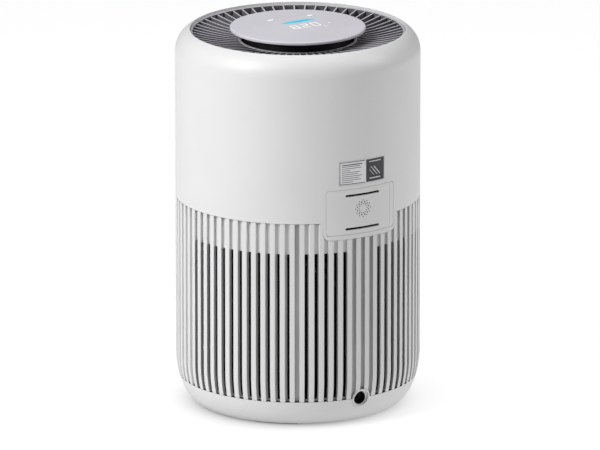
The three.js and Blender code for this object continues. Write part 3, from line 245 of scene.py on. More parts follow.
def white_abs(colours):
    # White ABS from a spark-eroded mould. The real grain is near 0.3 mm; it is drawn at
    # 1.2 mm so that it still breaks up the highlight a little at this distance.
    colour = tuple(colours.case)
    shade = tuple(channel * 0.985 for channel in colour[:3]) + (1.0,)
    return moulded("white ABS, spark-eroded mould", colour, shade, 0.44)


def shaded_abs(colours):
    # The same ABS down in the gaps, with a coarser grain and a darker colour: painted shade for the
    # gaps' walls and floors.
    colour = tuple(channel * 0.76 for channel in colours.case[:3]) + (1.0,)
    shade = tuple(channel * 0.68 for channel in colours.case[:3]) + (1.0,)
    return moulded("white ABS, coarse grain and painted shade in the gaps", colour, shade, 0.6, 2.0, 0.03, 0.3)


def polycarbonate():
    # Pale lilac polycarbonate display cover from a satin mould: a broad, soft highlight.
    return moulded("lilac grey polycarbonate, satin mould", srgb("#D3D1D8"), srgb("#CFCDD4"),
                   0.42, 6.0, 0.002, 0.35, 0.08)


def pleated_paper():
    # Glass fibre filter paper: soft off-white with fibres about 3 mm long.
    material, tree, place, surface = start_material("glass fibre filter paper, pleated")
    stretched = add(tree, "ShaderNodeMapping", inputs={
        "Vector": place, "Scale": (1.0, 1.0, 0.25)}).outputs["Vector"]
    fibres = noise(tree, stretched, 0.8, 6.0)
    tree.links.new(blend_colours(tree, fibres, srgb("#D9D6CC"), srgb("#F0EEE6")),
                   surface.inputs["Base Color"])
    surface.inputs["Roughness"].default_value = 0.95
    bumped(tree, surface, fibres, 0.15)
    return material


def knitted_mesh():
    # Black nylon prefilter mesh: openings about 1.6 mm apart, seen as a fine pattern of dots.
    material, tree, place, surface = start_material("black nylon mesh, warp knitted")
    cells = add(tree, "ShaderNodeTexVoronoi", inputs={
        "Vector": place, "Scale": 1 / (1.6 * MM), "Randomness": 0.15}).outputs["Distance"]
    tree.links.new(blend_colours(tree, cells, srgb("#020203"), srgb("#0E0E10")),
                   surface.inputs["Base Color"])
    surface.inputs["Roughness"].default_value = 0.8
    surface.inputs["Specular IOR Level"].default_value = 0.2
    bumped(tree, surface, cells, 0.3)
    return material


def rubber():
    # Carbon filled rubber: dull, with the dusty bloom that soft feet pick up.
    material, tree, place, surface = start_material("black rubber, compression moulded")
    bloom = noise(tree, place, 5, 5.0)
    tree.links.new(blend_colours(tree, bloom, srgb("#1A1A1B"), srgb("#2A2A2B")),
                   surface.inputs["Base Color"])
    tree.links.new(vary(tree, bloom, 0.78, 0.92), surface.inputs["Roughness"])
    bumped(tree, surface, noise(tree, place, 0.8, 3.0), 0.05)
    return material


def ground_steel():
    # Zinc plated and ground steel: fine scratches round the part, drawn 0.6 mm apart.
    material, tree, place, surface = start_material("plated steel, ground")
    stretched = add(tree, "ShaderNodeMapping", inputs={
        "Vector": place, "Scale": (0.08, 0.08, 1.0)}).outputs["Vector"]
    scratches = noise(tree, stretched, 0.6, 4.0)
    tree.links.new(blend_colours(tree, scratches, srgb("#A9ABAE"), srgb("#C6C8CA")),
                   surface.inputs["Base Color"])
    surface.inputs["Metallic"].default_value = 1.0
    tree.links.new(vary(tree, scratches, 0.26, 0.4), surface.inputs["Roughness"])
    bumped(tree, surface, scratches, 0.01)
    return material


def cast_aluminium():
    # Die cast aluminium: grey, with a grain of about 1 mm left by the die.
    material, tree, place, surface = start_material("aluminium, die cast")
    grain = noise(tree, place, 1.0, 4.0)
    tree.links.new(blend_colours(tree, grain, srgb("#9FA1A3"), srgb("#B5B7B8")),
                   surface.inputs["Base Color"])
    surface.inputs["Metallic"].default_value = 1.0
    surface.inputs["Roughness"].default_value = 0.48
    bumped(tree, surface, grain, 0.04)
    return material


def copper_wire():
    # Enamelled copper wire laid in turns 0.6 mm apart over grey laminations.
    material, tree, place, surface = start_material("copper wire, enamelled and wound")
    turns = add(tree, "ShaderNodeTexWave", {"bands_direction": "Z"}, {
        "Vector": place, "Scale": 1 / (0.6 * MM) / TURN, "Distortion": 0.4}).outputs["Fac"]
    tree.links.new(blend_colours(tree, turns, srgb("#6E3A1C"), srgb("#B8693A")),
                   surface.inputs["Base Color"])
    surface.inputs["Metallic"].default_value = 1.0
    surface.inputs["Roughness"].default_value = 0.32
    bumped(tree, surface, turns, 0.2)
    return material


def solder_mask():
    # Glass fibre board under green solder mask, with tracks about 2 mm apart.
    material, tree, place, surface = start_material("glass fibre board, solder masked")
    tracks = add(tree, "ShaderNodeTexBrick", {"offset": 0.35}, {
        "Vector": place, "Scale": 1 / (8 * MM), "Mortar Size": 0.06,
        "Color1": srgb("#1B5136"), "Color2": srgb("#1E5A3C"), "Mortar": srgb("#2F7A52")})
    tree.links.new(tracks.outputs["Color"], surface.inputs["Base Color"])
    surface.inputs["Roughness"].default_value = 0.35
    bumped(tree, surface, tracks.outputs["Fac"], 0.05)
    return material


def label_film():
    # Silvery polyester label film, screen printed: satin with a faint mottle.
    return moulded("polyester film, screen printed", srgb("#E6E6E8"), srgb("#DEDEE0"), 0.38,
                   3.0, 0.004)


def printing_ink(name, colour, shade):
    # Screen printed ink: matt and even, with a slight mottle from the mesh.
    return moulded(name, srgb(colour), srgb(shade), 0.6, 2.0, 0.003, 0.3)


def lit_window(name, colour, strength):
    """A window lit from below, with a faint mottle from its light guide."""
    material, tree, place, surface = start_material(name)
    mottle = noise(tree, place, 14, 1.0)
    tree.links.new(blend_colours(tree, mottle, tuple(c * 0.85 for c in colour[:3]) + (1.0,),
                                 colour), surface.inputs["Emission Color"])
    surface.inputs["Emission Strength"].default_value = strength
    surface.inputs["Base Color"].default_value = colour
    surface.inputs["Roughness"].default_value = 0.3
    return material


def studio_floor():
    # An opal acrylic light table: matt and lit from beneath, with a shadow painted round the
    # purifier's foot by dimming its glow there.
    material, tree, place, surface = start_material("opal acrylic light table")
    tone = noise(tree, place, 900, 2.0)
    tree.links.new(blend_colours(tree, tone, srgb("#7A7A7A"), srgb("#7E7E7E")),
                   surface.inputs["Base Color"])
    surface.inputs["Emission Color"].default_value = (1, 1, 1, 1)
    # The glow is turned down near the shade centre: a painted shadow round the purifier's base.
    shaded = add(tree, "ShaderNodeVectorMath", {"operation": "DISTANCE"},
                 {0: place, 1: SHADE_CENTRE}).outputs["Value"]
    reach = add(tree, "ShaderNodeMath", {"operation": "MULTIPLY_ADD"},
                {0: shaded, 1: -1 / SHADE_REACH, 2: SHADE_RADIUS / SHADE_REACH})
    fall = add(tree, "ShaderNodeMath", {"operation": "EXPONENT"}, {0: reach.outputs["Value"]})
    light = add(tree, "ShaderNodeMath", {"operation": "MULTIPLY_ADD", "use_clamp": True},
                {0: fall.outputs["Value"], 1: -SHADE_DEPTH, 2: TABLE_GLOW})
    tree.links.new(light.outputs["Value"], surface.inputs["Emission Strength"])
    surface.inputs["Roughness"].default_value = 0.9
    surface.inputs["Specular IOR Level"].default_value = 0.1
    return material


FINISHES = {}


def finish(name):
    """One material of each kind, made when it is first asked for."""
    colours = bpy.context.scene.purifier_colours
    makers = {
        "white": lambda: white_abs(colours),
        # Darker white for the walls and floors of the gaps: painted shade.
        "gap": lambda: shaded_abs(colours),
        "grey": lambda: moulded("grey ABS, spark-eroded mould", srgb("#B6B4BB"),
                                srgb("#AEACB3"), 0.45),
        # Darker grey for the upright faces of the outlet grille: painted shade, with a coarser
        # grain.
        "painted_side_shade": lambda: moulded("grey ABS, coarse grain and painted shade on the fins' sides",
                                     srgb("#66656A"), srgb("#5C5B60"), 0.6, 2.0, 0.03, 0.3),
        "black": lambda: moulded("black ABS, spark-eroded mould", srgb("#141416"),
                                 srgb("#101012"), 0.5),
        "disc": polycarbonate,
        "film": label_film,
        "dark_ink": lambda: printing_ink("dark grey ink, screen printed", "#4A4A4E", "#424246"),
        "mid_ink": lambda: printing_ink("mid grey ink, screen printed", "#6C6C70", "#646468"),
        "pale_ink": lambda: printing_ink("pale ink, screen printed", "#E2E2E4", "#DADADC"),
        "paper": pleated_paper,
        "mesh": knitted_mesh,
        "rubber": rubber,
        "steel": ground_steel,
        "aluminium": cast_aluminium,
        "copper": copper_wire,
        "board": solder_mask,
        "glow": lambda: lit_window("light bar, back lit", tuple(colours.glow), 0.6),
        "halo": lambda: lit_window("light bar's halo, back lit", srgb("#94C6D2"), 0.3),
        "white_light": lambda: lit_window("numerals, back lit", (1.0, 1.0, 1.0, 1.0), 0.2),
        "guide": lambda: moulded("milky acrylic light guide", srgb("#F0F0EE"),
                                 srgb("#E6E6E4"), 0.3, 4.0, 0.003),
    }
    if name not in FINISHES:
        FINISHES[name] = makers[name]()
    return FINISHES[name]


# ------------------------------------------------------------------ shaping
VERT, EDGE, FACE = bmesh.types.BMVert, bmesh.types.BMEdge, bmesh.types.BMFace
CUTTER_DEPTH = 60.0  # of the blocks that cut through the rear wall
SHARP = math.radians(38)  # edges that bend more than this stay sharp


def only(items, kind):
    """The items of one kind in what an operator made."""
    return [item for item in items if isinstance(item, kind)]


def rotated(bm, angle, axis):
    """Turns a shape about one of the axes."""
    bmesh.ops.rotate(bm, verts=bm.verts, cent=(0, 0, 0), matrix=Matrix.Rotation(angle, 3, axis))
    return bm


def moved(bm, x=0.0, y=0.0, z=0.0):
    """Moves a shape by millimetres."""
    bmesh.ops.translate(bm, verts=bm.verts, vec=(x * MM, y * MM, z * MM))
    return bm


def rounded(bm, edges, width, segments=2):
    """Bevels edges by a width in metres."""
    bmesh.ops.bevel(bm, geom=edges, offset=width, offset_type="OFFSET", segments=segments,
                    profile=0.5, affect="EDGES", material=-1, clamp_overlap=False)
    return bm


def painted(bm, choose):
    """Gives each face the number of its material among those of the piece."""
    for face in bm.faces:
        face.material_index = choose(face)
    return bm


def rear_reach(x, radius=BODY_RADIUS):
    """How far to the rear a circle about the axis reaches at x."""
    return math.sqrt(radius ** 2 - x * x)


def face_outwards(bm):
    """Makes every normal of a closed shape point out of it."""
    bmesh.ops.recalc_face_normals(bm, faces=bm.faces)
    if bm.calc_volume(signed=True) < 0:
        bmesh.ops.reverse_faces(bm, faces=bm.faces)
    return bm


def body_radius_at(height):
    drop = max(0.0, TUCK_HEIGHT - height) / TUCK_HEIGHT
    return BODY_RADIUS - TUCK_DEPTH + TUCK_DEPTH * math.sqrt(max(0.0, 1 - drop * drop))


def tuck_heights(low, high, steps):
    """Heights that divide the curved foot of the case evenly along its curve."""
    start = math.asin((TUCK_HEIGHT - low) / TUCK_HEIGHT)
    end = math.asin((TUCK_HEIGHT - high) / TUCK_HEIGHT)
    return [TUCK_HEIGHT * (1 - math.sin(start + (end - start) * i / steps))
            for i in range(steps + 1)]


def arc(centre, radius, start, end, steps):
    """Points of an arc in the (radius, height) plane, angles in degrees."""
    angles = [math.radians(start + (end - start) * i / steps) for i in range(steps + 1)]
    return [(centre[0] + radius * math.cos(a), centre[1] + radius * math.sin(a))
            for a in angles]


def turned(profile, steps=96, loop=True, angle=TURN):
    """A profile of (radius, height) points in millimetres spun about Z."""
    bm = bmesh.new()
    verts = [bm.verts.new((radius * MM, 0, height * MM)) for radius, height in profile]
    pairs = list(zip(verts, verts[1:] + (verts[:1] if loop else [])))
    edges = [bm.edges.new(pair) for pair in pairs]
    whole = abs(angle - TURN) < 1e-6
    bmesh.ops.spin(bm, geom=verts + edges, cent=(0, 0, 0), axis=(0, 0, 1), dvec=(0, 0, 0),
                   angle=angle, steps=steps, use_merge=whole, use_duplicate=False)
    if not whole:
        rims = [edge for edge in bm.edges if edge.is_boundary]
        bmesh.ops.holes_fill(bm, edges=rims, sides=0)
    bmesh.ops.remove_doubles(bm, verts=bm.verts, dist=1e-7)
    return face_outwards(bm)


def hoop(inner, outer, low, high, steps=144):
    """A plain ring with square edges."""
    return turned([(inner, low), (outer, low), (outer, high), (inner, high)], steps)


def turn_to_rear(bm, height):
    """Turns a shape made about Z so that its axis runs along +Y at the given height."""
    return moved(rotated(bm, -REAR, "X"), z=height)


def plate(outline, depth, centre=True):
    """A flat outline of (x, y) points in millimetres, given a thickness along Z."""
    bm = bmesh.new()
    face = bm.faces.new([bm.verts.new((x * MM, y * MM, 0)) for x, y in outline])
    grown = bmesh.ops.extrude_face_region(bm, geom=[face])["geom"]
    bmesh.ops.translate(bm, verts=only(grown, VERT), vec=(0, 0, depth * MM))
    if centre:
        moved(bm, z=-depth / 2)
    return face_outwards(bm)


def upright(bm, low):
    """Stands a plate drawn in (x, height) up, its thickness running from y = low to the rear."""
    rotated(bm, REAR, "X")
    deepest = min(vert.co.y for vert in bm.verts)
    bmesh.ops.translate(bm, verts=bm.verts, vec=(0, low * MM - deepest, 0))
    return bm


def rounded_outline(low_half, high_half, low, high, corner, steps=8, round_top=True):
    """A four-sided outline about x = 0 with rounded corners, as (x, height) points."""
    points = arc((low_half - corner, low + corner), corner, -90, 0, steps)
    if round_top:
        points += arc((high_half - corner, high - corner), corner, 0, 90, steps)
        points += arc((corner - high_half, high - corner), corner, 90, 180, steps)
    else:
        points += [(high_half, high), (-high_half, high)]
    points += arc((corner - low_half, low + corner), corner, 180, 270, steps)
    return points


def rear_cutter(outline):
    """A block with the outline given as (x, height) points, right through the rear wall."""
    return upright(plate(outline, CUTTER_DEPTH), BODY_RADIUS - CUTTER_DEPTH * 2 / 3)


def inlet_cutter():
    """A round block through the wall where the power inlet sits."""
    radius = INLET_RADIUS + FIT
    hole = turned([(0, 0), (radius, 0), (radius, CUTTER_DEPTH), (0, CUTTER_DEPTH)], 48, False)
    return turn_to_rear(moved(hole, z=BODY_RADIUS - CUTTER_DEPTH * 2 / 3), INLET_HEIGHT)


def bar(size, place, turn=0.0):
    """A block of the given size in millimetres, centred on a place, turned about Z."""
    bm = bmesh.new()
    bmesh.ops.create_cube(bm, size=1.0)
    bmesh.ops.scale(bm, verts=bm.verts, vec=Vector(size) * MM)
    bmesh.ops.translate(bm, verts=bm.verts, vec=Vector(place) * MM)
    return rotated(bm, turn, "Z")


def join(*parts):
    """Several shapes in one bmesh."""
    whole = parts[0]
    for part in parts[1:]:
        mesh = bpy.data.meshes.new("part")
        part.to_mesh(mesh)
        part.free()
        whole.from_mesh(mesh)
        bpy.data.meshes.remove(mesh)
    return whole


def repeat_round(bm, count):
    """Copies a shape evenly round Z."""
    bmesh.ops.spin(bm, geom=bm.verts[:] + bm.edges[:] + bm.faces[:], cent=(0, 0, 0),
                   axis=(0, 0, 1), dvec=(0, 0, 0), angle=TURN * (count - 1) / count,
                   steps=count - 1, use_duplicate=True, use_merge=False)
    return bm


def pushed(bm, faces, move):
    """Extrudes a patch of a wall, moves its new corners one by one and returns its new faces."""
    made = bmesh.ops.extrude_face_region(bm, geom=faces)["geom"]
    bmesh.ops.delete(bm, geom=faces, context="FACES")
    for vert in only(made, VERT):
        vert.co = move(vert)
    return only(made, FACE)


def loose_object(bm, name="cutter"):
    mesh = bpy.data.meshes.new(name)
    bm.to_mesh(mesh)
    bm.free()
    made = bpy.data.objects.new(name, mesh)
    bpy.context.scene.collection.objects.link(made)
    return made


def cut(bm, cutters, operation="DIFFERENCE"):
    """Cuts or keeps what the cutters cover, one after another."""
    target = loose_object(bm, "blank")
    tools = [loose_object(cutter) for cutter in cutters]
    for tool in tools:
        step = target.modifiers.new("cut", "BOOLEAN")
        step.operation = operation
        step.solver = "MANIFOLD"
        step.object = tool
    seen = target.evaluated_get(bpy.context.evaluated_depsgraph_get())
    result = bmesh.new()
    result.from_mesh(seen.to_mesh())
    seen.to_mesh_clear()
    for made in [target, *tools]:
        mesh = made.data
        bpy.data.objects.remove(made)
        bpy.data.meshes.remove(mesh)
    bmesh.ops.remove_doubles(result, verts=result.verts, dist=1e-7)
    return result


def publish(bm, name, look, body, nodes=(), edge_mm=0.0, segments=2, looks=()):
    """Makes a finished piece of a bmesh: its mesh, edges, material and body."""
    mesh = bpy.data.meshes.new(name)
    bm.to_mesh(mesh)
    bm.free()
    piece = bpy.data.objects.new(name, mesh)
    bpy.context.scene.collection.objects.link(piece)
    for each in (look, *looks):
        mesh.materials.append(finish(each))
    mesh.shade_smooth()
    mesh.set_sharp_from_angle(angle=SHARP)
    if edge_mm:
        edges = piece.modifiers.new("Edges", "BEVEL")
        edges.width = edge_mm * MM
        edges.segments = segments
        edges.limit_method = "ANGLE"
        edges.angle_limit = SHARP
    facing = piece.modifiers.new("Flat faces stay flat", "WEIGHTED_NORMAL")
    facing.keep_sharp = True
    facing.weight = 80
    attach(piece, body)
    if nodes:
        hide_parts(*nodes)


# ------------------------------------------------------------------ case
def tongue_outline(grow):
    half = DOOR_HIGH.x + TONGUE_BORDER + grow
    return rounded_outline(half - TONGUE_TAPER, half, DOOR_LOW.z - TONGUE_BORDER - grow,
                           SEAM + 8, TONGUE_CORNER, 10, False)


def door_outline(grow):
    return rounded_outline(DOOR_HIGH.x + grow, DOOR_HIGH.x + grow, DOOR_LOW.z - grow,
                           DOOR_HIGH.z + grow, DOOR_CORNER)


def label_outline(grow):
    return rounded_outline(LABEL_HIGH.x + grow, LABEL_HIGH.x + grow, LABEL_LOW.z - grow,
                           LABEL_HIGH.z + grow, LABEL_CORNER, 4)


def build_upper_shell(sizes):
    low = span("upper_shell")[0].z
    rim = BODY_RADIUS - RIM_INSET
    centre_radius = BODY_RADIUS - SHOULDER_RADIUS
    shoulder = RIM_TOP - math.sqrt(SHOULDER_RADIUS ** 2 - (rim - centre_radius) ** 2)
    centre = (centre_radius, shoulder)
    rim_angle = math.degrees(math.acos((rim + 0.5 - centre_radius) / SHOULDER_RADIUS))
    skirt = rim + SHELL_WALL - 0.5
    inner = SHOULDER_RADIUS - SHELL_WALL
    skirt_angle = math.degrees(math.acos((skirt - centre_radius) / inner))
    foot = OUTLET_HIGH - RING_HEIGHT - FIT
    profile = [(BODY_RADIUS, low)]
    profile += arc(centre, SHOULDER_RADIUS, 0, rim_angle, 22)
    profile += [(rim + 0.1, RIM_TOP - 0.25), (rim, RIM_TOP - 0.7), (rim, foot), (skirt, foot)]
    profile += arc(centre, inner, skirt_angle, 0, 8)
    profile += [(BODY_RADIUS - SHELL_WALL, low)]
    shell = turned(profile, sizes.steps)
    seam = SEAM + PARTING
    far = BODY_RADIUS + 20
    tongue = [point for point in tongue_outline(0) if point[1] < seam + 1]
    left = [point for point in tongue if point[0] < 0]
    right = [point for point in tongue if point[0] >= 0]
    side = DOOR_HIGH.x + TONGUE_BORDER
    outline = [(-far, seam), (-side, seam), *left, *right, (side, seam), (far, seam),
               (far, low - 20), (-far, low - 20)]
    cutters = [
        bar((2 * far, far, seam - low + 20), (0, -far / 2, (seam + low - 20) / 2)),
        upright(plate(outline, far), -0.5),
        rear_cutter(door_outline(FIT)),
    ]
    recess = hoop(BODY_RADIUS - LABEL_RECESS, BODY_RADIUS + 4,
                  LABEL_LOW.z - 5, LABEL_HIGH.z + 5, sizes.steps)
    cutters.append(cut(recess, [rear_cutter(label_outline(LABEL_FIT))], "INTERSECT"))
    shell = cut(shell, cutters)
    publish(shell, "case_upper_shell", "white", "housing", ["upper_shell"], 0.25)


def from_rear(gap, count):
    """The number of a gap counted both ways from the rear."""
    gap %= count
    return gap if gap <= count // 2 else gap - count


def gap_draw(index, pitch):
    """A gap's angle, the direction its walls are drawn in, and whether it goes through."""
    angle = REAR + index * pitch
    for first, last, *draws in FIELDS:
        if first <= abs(index) <= last:
            return angle, REAR + draws[index > 0] * pitch, True
    return angle, angle, False


def towards(point, direction, radius):
    """Where the line through a point along a direction meets a circle about the axis."""
    along = point.x * math.cos(direction) + point.y * math.sin(direction)
    across = -point.x * math.sin(direction) + point.y * math.cos(direction)
    reach = math.sqrt(max(0.0, radius * radius - across * across)) - along
    return Vector((point.x + reach * math.cos(direction), point.y + reach * math.sin(direction),
                   point.z))


RIB_EDGE_ANGLE = 0.8  # radians that a rib's outer edges bend by, at least
WALL_MARGIN = 0.2
SHADED_GAPS = 20  # gaps each way from the rear whose walls and floors get the coarser grain and painted shade


def build_intake_grille(sizes):
    """Ribs drawn from an outline: the gaps are pushed in, and the open ones go right through."""
    count = sizes.rib_count
    pitch = TURN / count
    groove = sizes.groove_depth / MM
    half = math.asin(sizes.gap_width / MM / 2 / BODY_RADIUS)
    low, high = BAND + PARTING, SEAM - PARTING
    sill, flange = BAND + SILL_HEIGHT, high - FLANGE_HEIGHT
    slot_top = sizes.slot_top / MM
    rows = tuck_heights(low, TUCK_HEIGHT, 7)
    rows[1] = sill
    rows += [slot_top, flange, high]
    bm = bmesh.new()
    column = bm.verts.layers.int.new("column")
    bmesh.ops.create_circle(bm, cap_ends=False, segments=4 * count, radius=1)
    bm.verts.ensure_lookup_table()
    draws = []
    for gap in range(count):
        angle, draw, _ = gap_draw(from_rear(gap, count), pitch)
        after = gap_draw(from_rear(gap + 1, count), pitch)
        slant = ((angle - draw) + math.remainder(after[0] - after[1], TURN)) / 2
        rib = angle + pitch / 2
        for at, direction in ((angle - half, draw), (angle, draw), (angle + half, draw),
                              (rib, rib - slant)):
            radius = body_radius_at(low) * MM
            vert = bm.verts[len(draws)]
            vert.co = Vector((radius * math.cos(at), radius * math.sin(at), low * MM))
            vert[column] = len(draws)
            draws.append(direction)
    edges = bm.edges[:]
    faces_in_gap = {gap: [] for gap in range(count)}
    face_row = bm.faces.layers.int.new("row")
    face_gap = bm.faces.layers.int.new("gap")
    for number, height in enumerate(rows[1:]):
        grown = bmesh.ops.extrude_edge_only(bm, edges=edges)["geom"]
        edges = [edge for edge in only(grown, EDGE) if len(edge.link_faces) == 1]
        scale = body_radius_at(height) / body_radius_at(rows[number])
        for vert in only(grown, VERT):
            vert.co.x *= scale
            vert.co.y *= scale
            vert.co.z = height * MM
        for face in only(grown, FACE):
            columns = sorted({vert[column] for vert in face.verts})
            first = columns[0] if columns[1] - columns[0] == 1 else columns[1]
            face[face_row] = number
            face[face_gap] = first // 4 + 1 if first % 4 < 2 else 0
    bmesh.ops.recalc_face_normals(bm, faces=bm.faces)
    outside = bm.faces[:]
    if outside[0].normal.dot(outside[0].calc_center_median()) < 0:
        bmesh.ops.reverse_faces(bm, faces=outside)
    copied = bmesh.ops.duplicate(bm, geom=bm.verts[:] + bm.edges[:] + outside)["geom"]
    inside = only(copied, FACE)
    bmesh.ops.reverse_faces(bm, faces=inside)
    for vert in only(copied, VERT):
        radius = (body_radius_at(vert.co.z / MM) - GRILLE_WALL) * MM
        vert.co = towards(vert.co, draws[vert[column]], radius)
    for face in outside:
        if face[face_gap]:
            faces_in_gap[face[face_gap] - 1].append(face)
    sill_row, slot_rows, flange_row = 0, range(1, len(rows) - 3), len(rows) - 2

    def drawn_in(depth):
        return lambda vert: towards(vert.co, draws[vert[column]],
                                    (body_radius_at(vert.co.z / MM) - depth) * MM)

    doomed = []
    for gap, faces in faces_in_gap.items():
        floor = pushed(bm, faces, drawn_in(groove))
        if gap_draw(from_rear(gap, count), pitch)[2]:
            slot = [face for face in floor if face[face_row] in slot_rows]
            doomed += pushed(bm, slot, drawn_in(GRILLE_WALL))
            doomed += [face for face in inside if face[face_gap] == gap + 1
                       and face[face_row] in slot_rows]
    bmesh.ops.delete(bm, geom=doomed, context="FACES")
    bmesh.ops.remove_doubles(bm, verts=bm.verts, dist=1e-6)
    ribs = [edge for edge in bm.edges if len(edge.link_faces) == 2
            and edge.calc_face_angle_signed() > RIB_EDGE_ANGLE
            and abs(edge.verts[0].co.z - edge.verts[1].co.z) > edge.calc_length() * 0.7
            and all(vert.co.xy.length > (body_radius_at(vert.co.z / MM) - 0.1) * MM
                    for vert in edge.verts)]
    rounded(bm, ribs, sizes.rib_edge)
    for row, reach in ((sill_row, SILL_REACH), (flange_row, FLANGE_REACH)):
        band = []
        for face in bm.faces:
            middle = face.calc_center_median()
            wall = (body_radius_at(middle.z / MM) - GRILLE_WALL) * MM
            if (face[face_row] == row and face.normal.dot(middle) < 0
                    and abs(middle.xy.length - wall) < WALL_MARGIN * MM):
                band.append(face)

        def inwards(vert):
            shrink = 1 - reach * MM / vert.co.xy.length
            return Vector((vert.co.x * shrink, vert.co.y * shrink, vert.co.z))

        pushed(bm, band, inwards)
    for height in (low, high):
        rim = [edge for edge in bm.edges if len(edge.link_faces) == 1
               and all(abs(vert.co.z - height * MM) < 1e-6 for vert in edge.verts)]
        bmesh.ops.triangle_fill(bm, edges=rim, use_beauty=True, use_dissolve=False)
    face_outwards(bm)
    behind = BODY_RADIUS - GRILLE_WALL - FIT
    back = turned([(0, 0), (behind, 0), (behind, SEAM + 30), (0, SEAM + 30)], 156, False)
    notch = cut(rear_cutter(tongue_outline(FIT)), [back])
    bm = cut(bm, [notch, inlet_cutter()])

    # Faces on the walls and floors of the gaps near the rear take the darker material: painted
    # shade.
    def in_gap(face):
        middle = face.calc_center_median() / MM
        depth = body_radius_at(middle.z) - middle.xy.length
        turn = math.remainder(math.atan2(middle.y, middle.x) - REAR, TURN)
        index = round(turn / pitch)
        top = slot_top if gap_draw(index, pitch)[2] else high
        return (WALL_MARGIN < depth < GRILLE_WALL - WALL_MARGIN and sill < middle.z < top
                and abs(index) < SHADED_GAPS)

    painted(bm, in_gap)
    publish(bm, "case_intake_grille", "white", "housing", ["intake_grille"],
            looks=("gap",))


def build_base(sizes):
    plate_top = BASE_LOW + BASE_PLATE
    top = BAND - PARTING
    outside = [(body_radius_at(h), h) for h in tuck_heights(BASE_LOW, top, 16)]
    inside = [(body_radius_at(h) - SHELL_WALL, h) for h in tuck_heights(plate_top, top, 8)]
    profile = [(BASE_OPENING, BASE_LOW), *outside, *reversed(inside),
               (BASE_OPENING, plate_top)]
    bm = turned(profile, sizes.steps)
    cutters = [inlet_cutter()]
    for turn in LUG_TURNS:
        cutters.append(bar((LUG_REACH + 5, LUG_LENGTH + 2, 4),
                           (BASE_OPENING + 1, 0, plate_top - 0.2), turn + LUG_RELEASE))
    publish(cut(bm, cutters), "case_base", "white", "housing", ["base"], 0.25)


# ------------------------------------------------------------------ door, label and inlet
SHEET_SPAN = math.radians(60)


def curved_sheet(outline, inner, outer):
    """A piece of a cylinder wall with the outline given as (x, height) points."""
    heights = [height for _, height in outline]
    low, high = min(heights) - 3, max(heights) + 3
    wall = turned([(inner, low), (outer, low), (outer, high), (inner, high)], 96, True,
                  SHEET_SPAN)
    rotated(wall, REAR - SHEET_SPAN / 2, "Z")
    return cut(wall, [rear_cutter(outline)], "INTERSECT")


# Details of the sensor door: two slots, an edge line, two clips and a ring of dots.
SLOT_INSETS = (5.3, 6.3)  # from the door's lower and upper edge
SLOT_HALF, SLOT_RISE, SLOT_CORNER = 19.2, 1.2, 1.1
SCREEN_HALF, SCREEN_RISE, SCREEN_THICKNESS = 21, 2.6, 0.6
EDGE_LINE_INSET = 5.2
CLIP_SIZE, CLIP_PLACE = (2, 8, 8), (29.5, 110.8, 225)
DOTS_HEIGHT, DOT_COUNT, DOT_THICKNESS = 219.6, 36, 0.12
DOT_RINGS = ((4.6, 0.55), (6.4, 0.75), (8.2, 0.6))  # distance from the middle, dot's radius


def build_sensor_door():
    back = BODY_RADIUS - DOOR_WALL
    sheet = curved_sheet(door_outline(0), back, BODY_RADIUS)
    slot_heights = (DOOR_LOW.z + SLOT_INSETS[0], DOOR_HIGH.z - SLOT_INSETS[1])
    cutters = [rear_cutter(rounded_outline(SLOT_HALF, SLOT_HALF, height - SLOT_RISE,
                                           height + SLOT_RISE, SLOT_CORNER, 5))
               for height in slot_heights]
    line = DOOR_LOW.x + EDGE_LINE_INSET
    cutters.append(bar((0.3, 1.0, DOOR_HIGH.z - DOOR_LOW.z - 1.0),
                       (line, rear_reach(line) + 0.3, (DOOR_HIGH.z + DOOR_LOW.z) / 2)))
    door = cut(sheet, cutters)
    screens = [curved_sheet(rounded_outline(SCREEN_HALF, SCREEN_HALF, height - SCREEN_RISE,
                                            height + SCREEN_RISE, 1.0, 4),
                            back - SCREEN_THICKNESS, back)
               for height in slot_heights]
    publish(join(*screens), "sensor_door_dust_screen", "mesh", "sensor_door", ())
    x, y, z = CLIP_PLACE
    for side in (-x, x):
        door = join(door, bar(CLIP_SIZE, (side, y, z)))
    publish(door, "sensor_door_cover", "white", "sensor_door", ["sensor_door"], 0.3)
    dots = []
    for number in range(DOT_COUNT):
        ring = number % len(DOT_RINGS)
        reach, size = DOT_RINGS[ring]
        turn = TURN * (number + ring * 0.5) / DOT_COUNT
        dot = turned([(0, 0), (size, 0), (size, DOT_THICKNESS), (0, DOT_THICKNESS)], 16, False)
        x = reach * math.cos(turn)
        dot = turn_to_rear(dot, DOTS_HEIGHT + reach * math.sin(turn))
        dots.append(moved(dot, x, rear_reach(x) - 0.1))
    publish(join(*dots), "sensor_door_dots", "dark_ink", "sensor_door", ())


def printed_patch(x_low, x_high, z_low, z_high, rise=0.03, lean=0.0):
    """A thin printed patch on the label, bent round the case; its end at x_high may sit higher."""
    bm = bmesh.new()
    bmesh.ops.create_grid(bm, x_segments=6, y_segments=1, size=0.5)
    for vert in bm.verts:
        x = x_low + (x_high - x_low) * (vert.co.x + 0.5)
        z = z_low + (z_high - z_low) * (vert.co.y + 0.5) + lean * (vert.co.x + 0.5)
        vert.co = Vector((x, rear_reach(x, BODY_RADIUS - LABEL_SINK + rise), z)) * MM
    bmesh.ops.recalc_face_normals(bm, faces=bm.faces)
    bmesh.ops.solidify(bm, geom=bm.faces[:], thickness=0.06 * MM)
    return face_outwards(bm)


# The label's print: its frame, its lines of plain bars and its pictogram of slanted bars.
MARGIN, FRAME, DIVIDE = 0.6, 0.7, 0.54
LINE_LENGTHS = (22, 19.5, 21, 9, 20, 17, 21.5, 18.5, 20.5, 12)
LINE_START, LINE_TOP, LINE_STEP = 2.8, 3.0, 1.95
HEADING_THICKNESS, LINE_THICKNESS = 1.1, 0.65
HEADER = (-7.0, 7.0, 3.6, 2.8)  # x from the middle, heights below the label's top
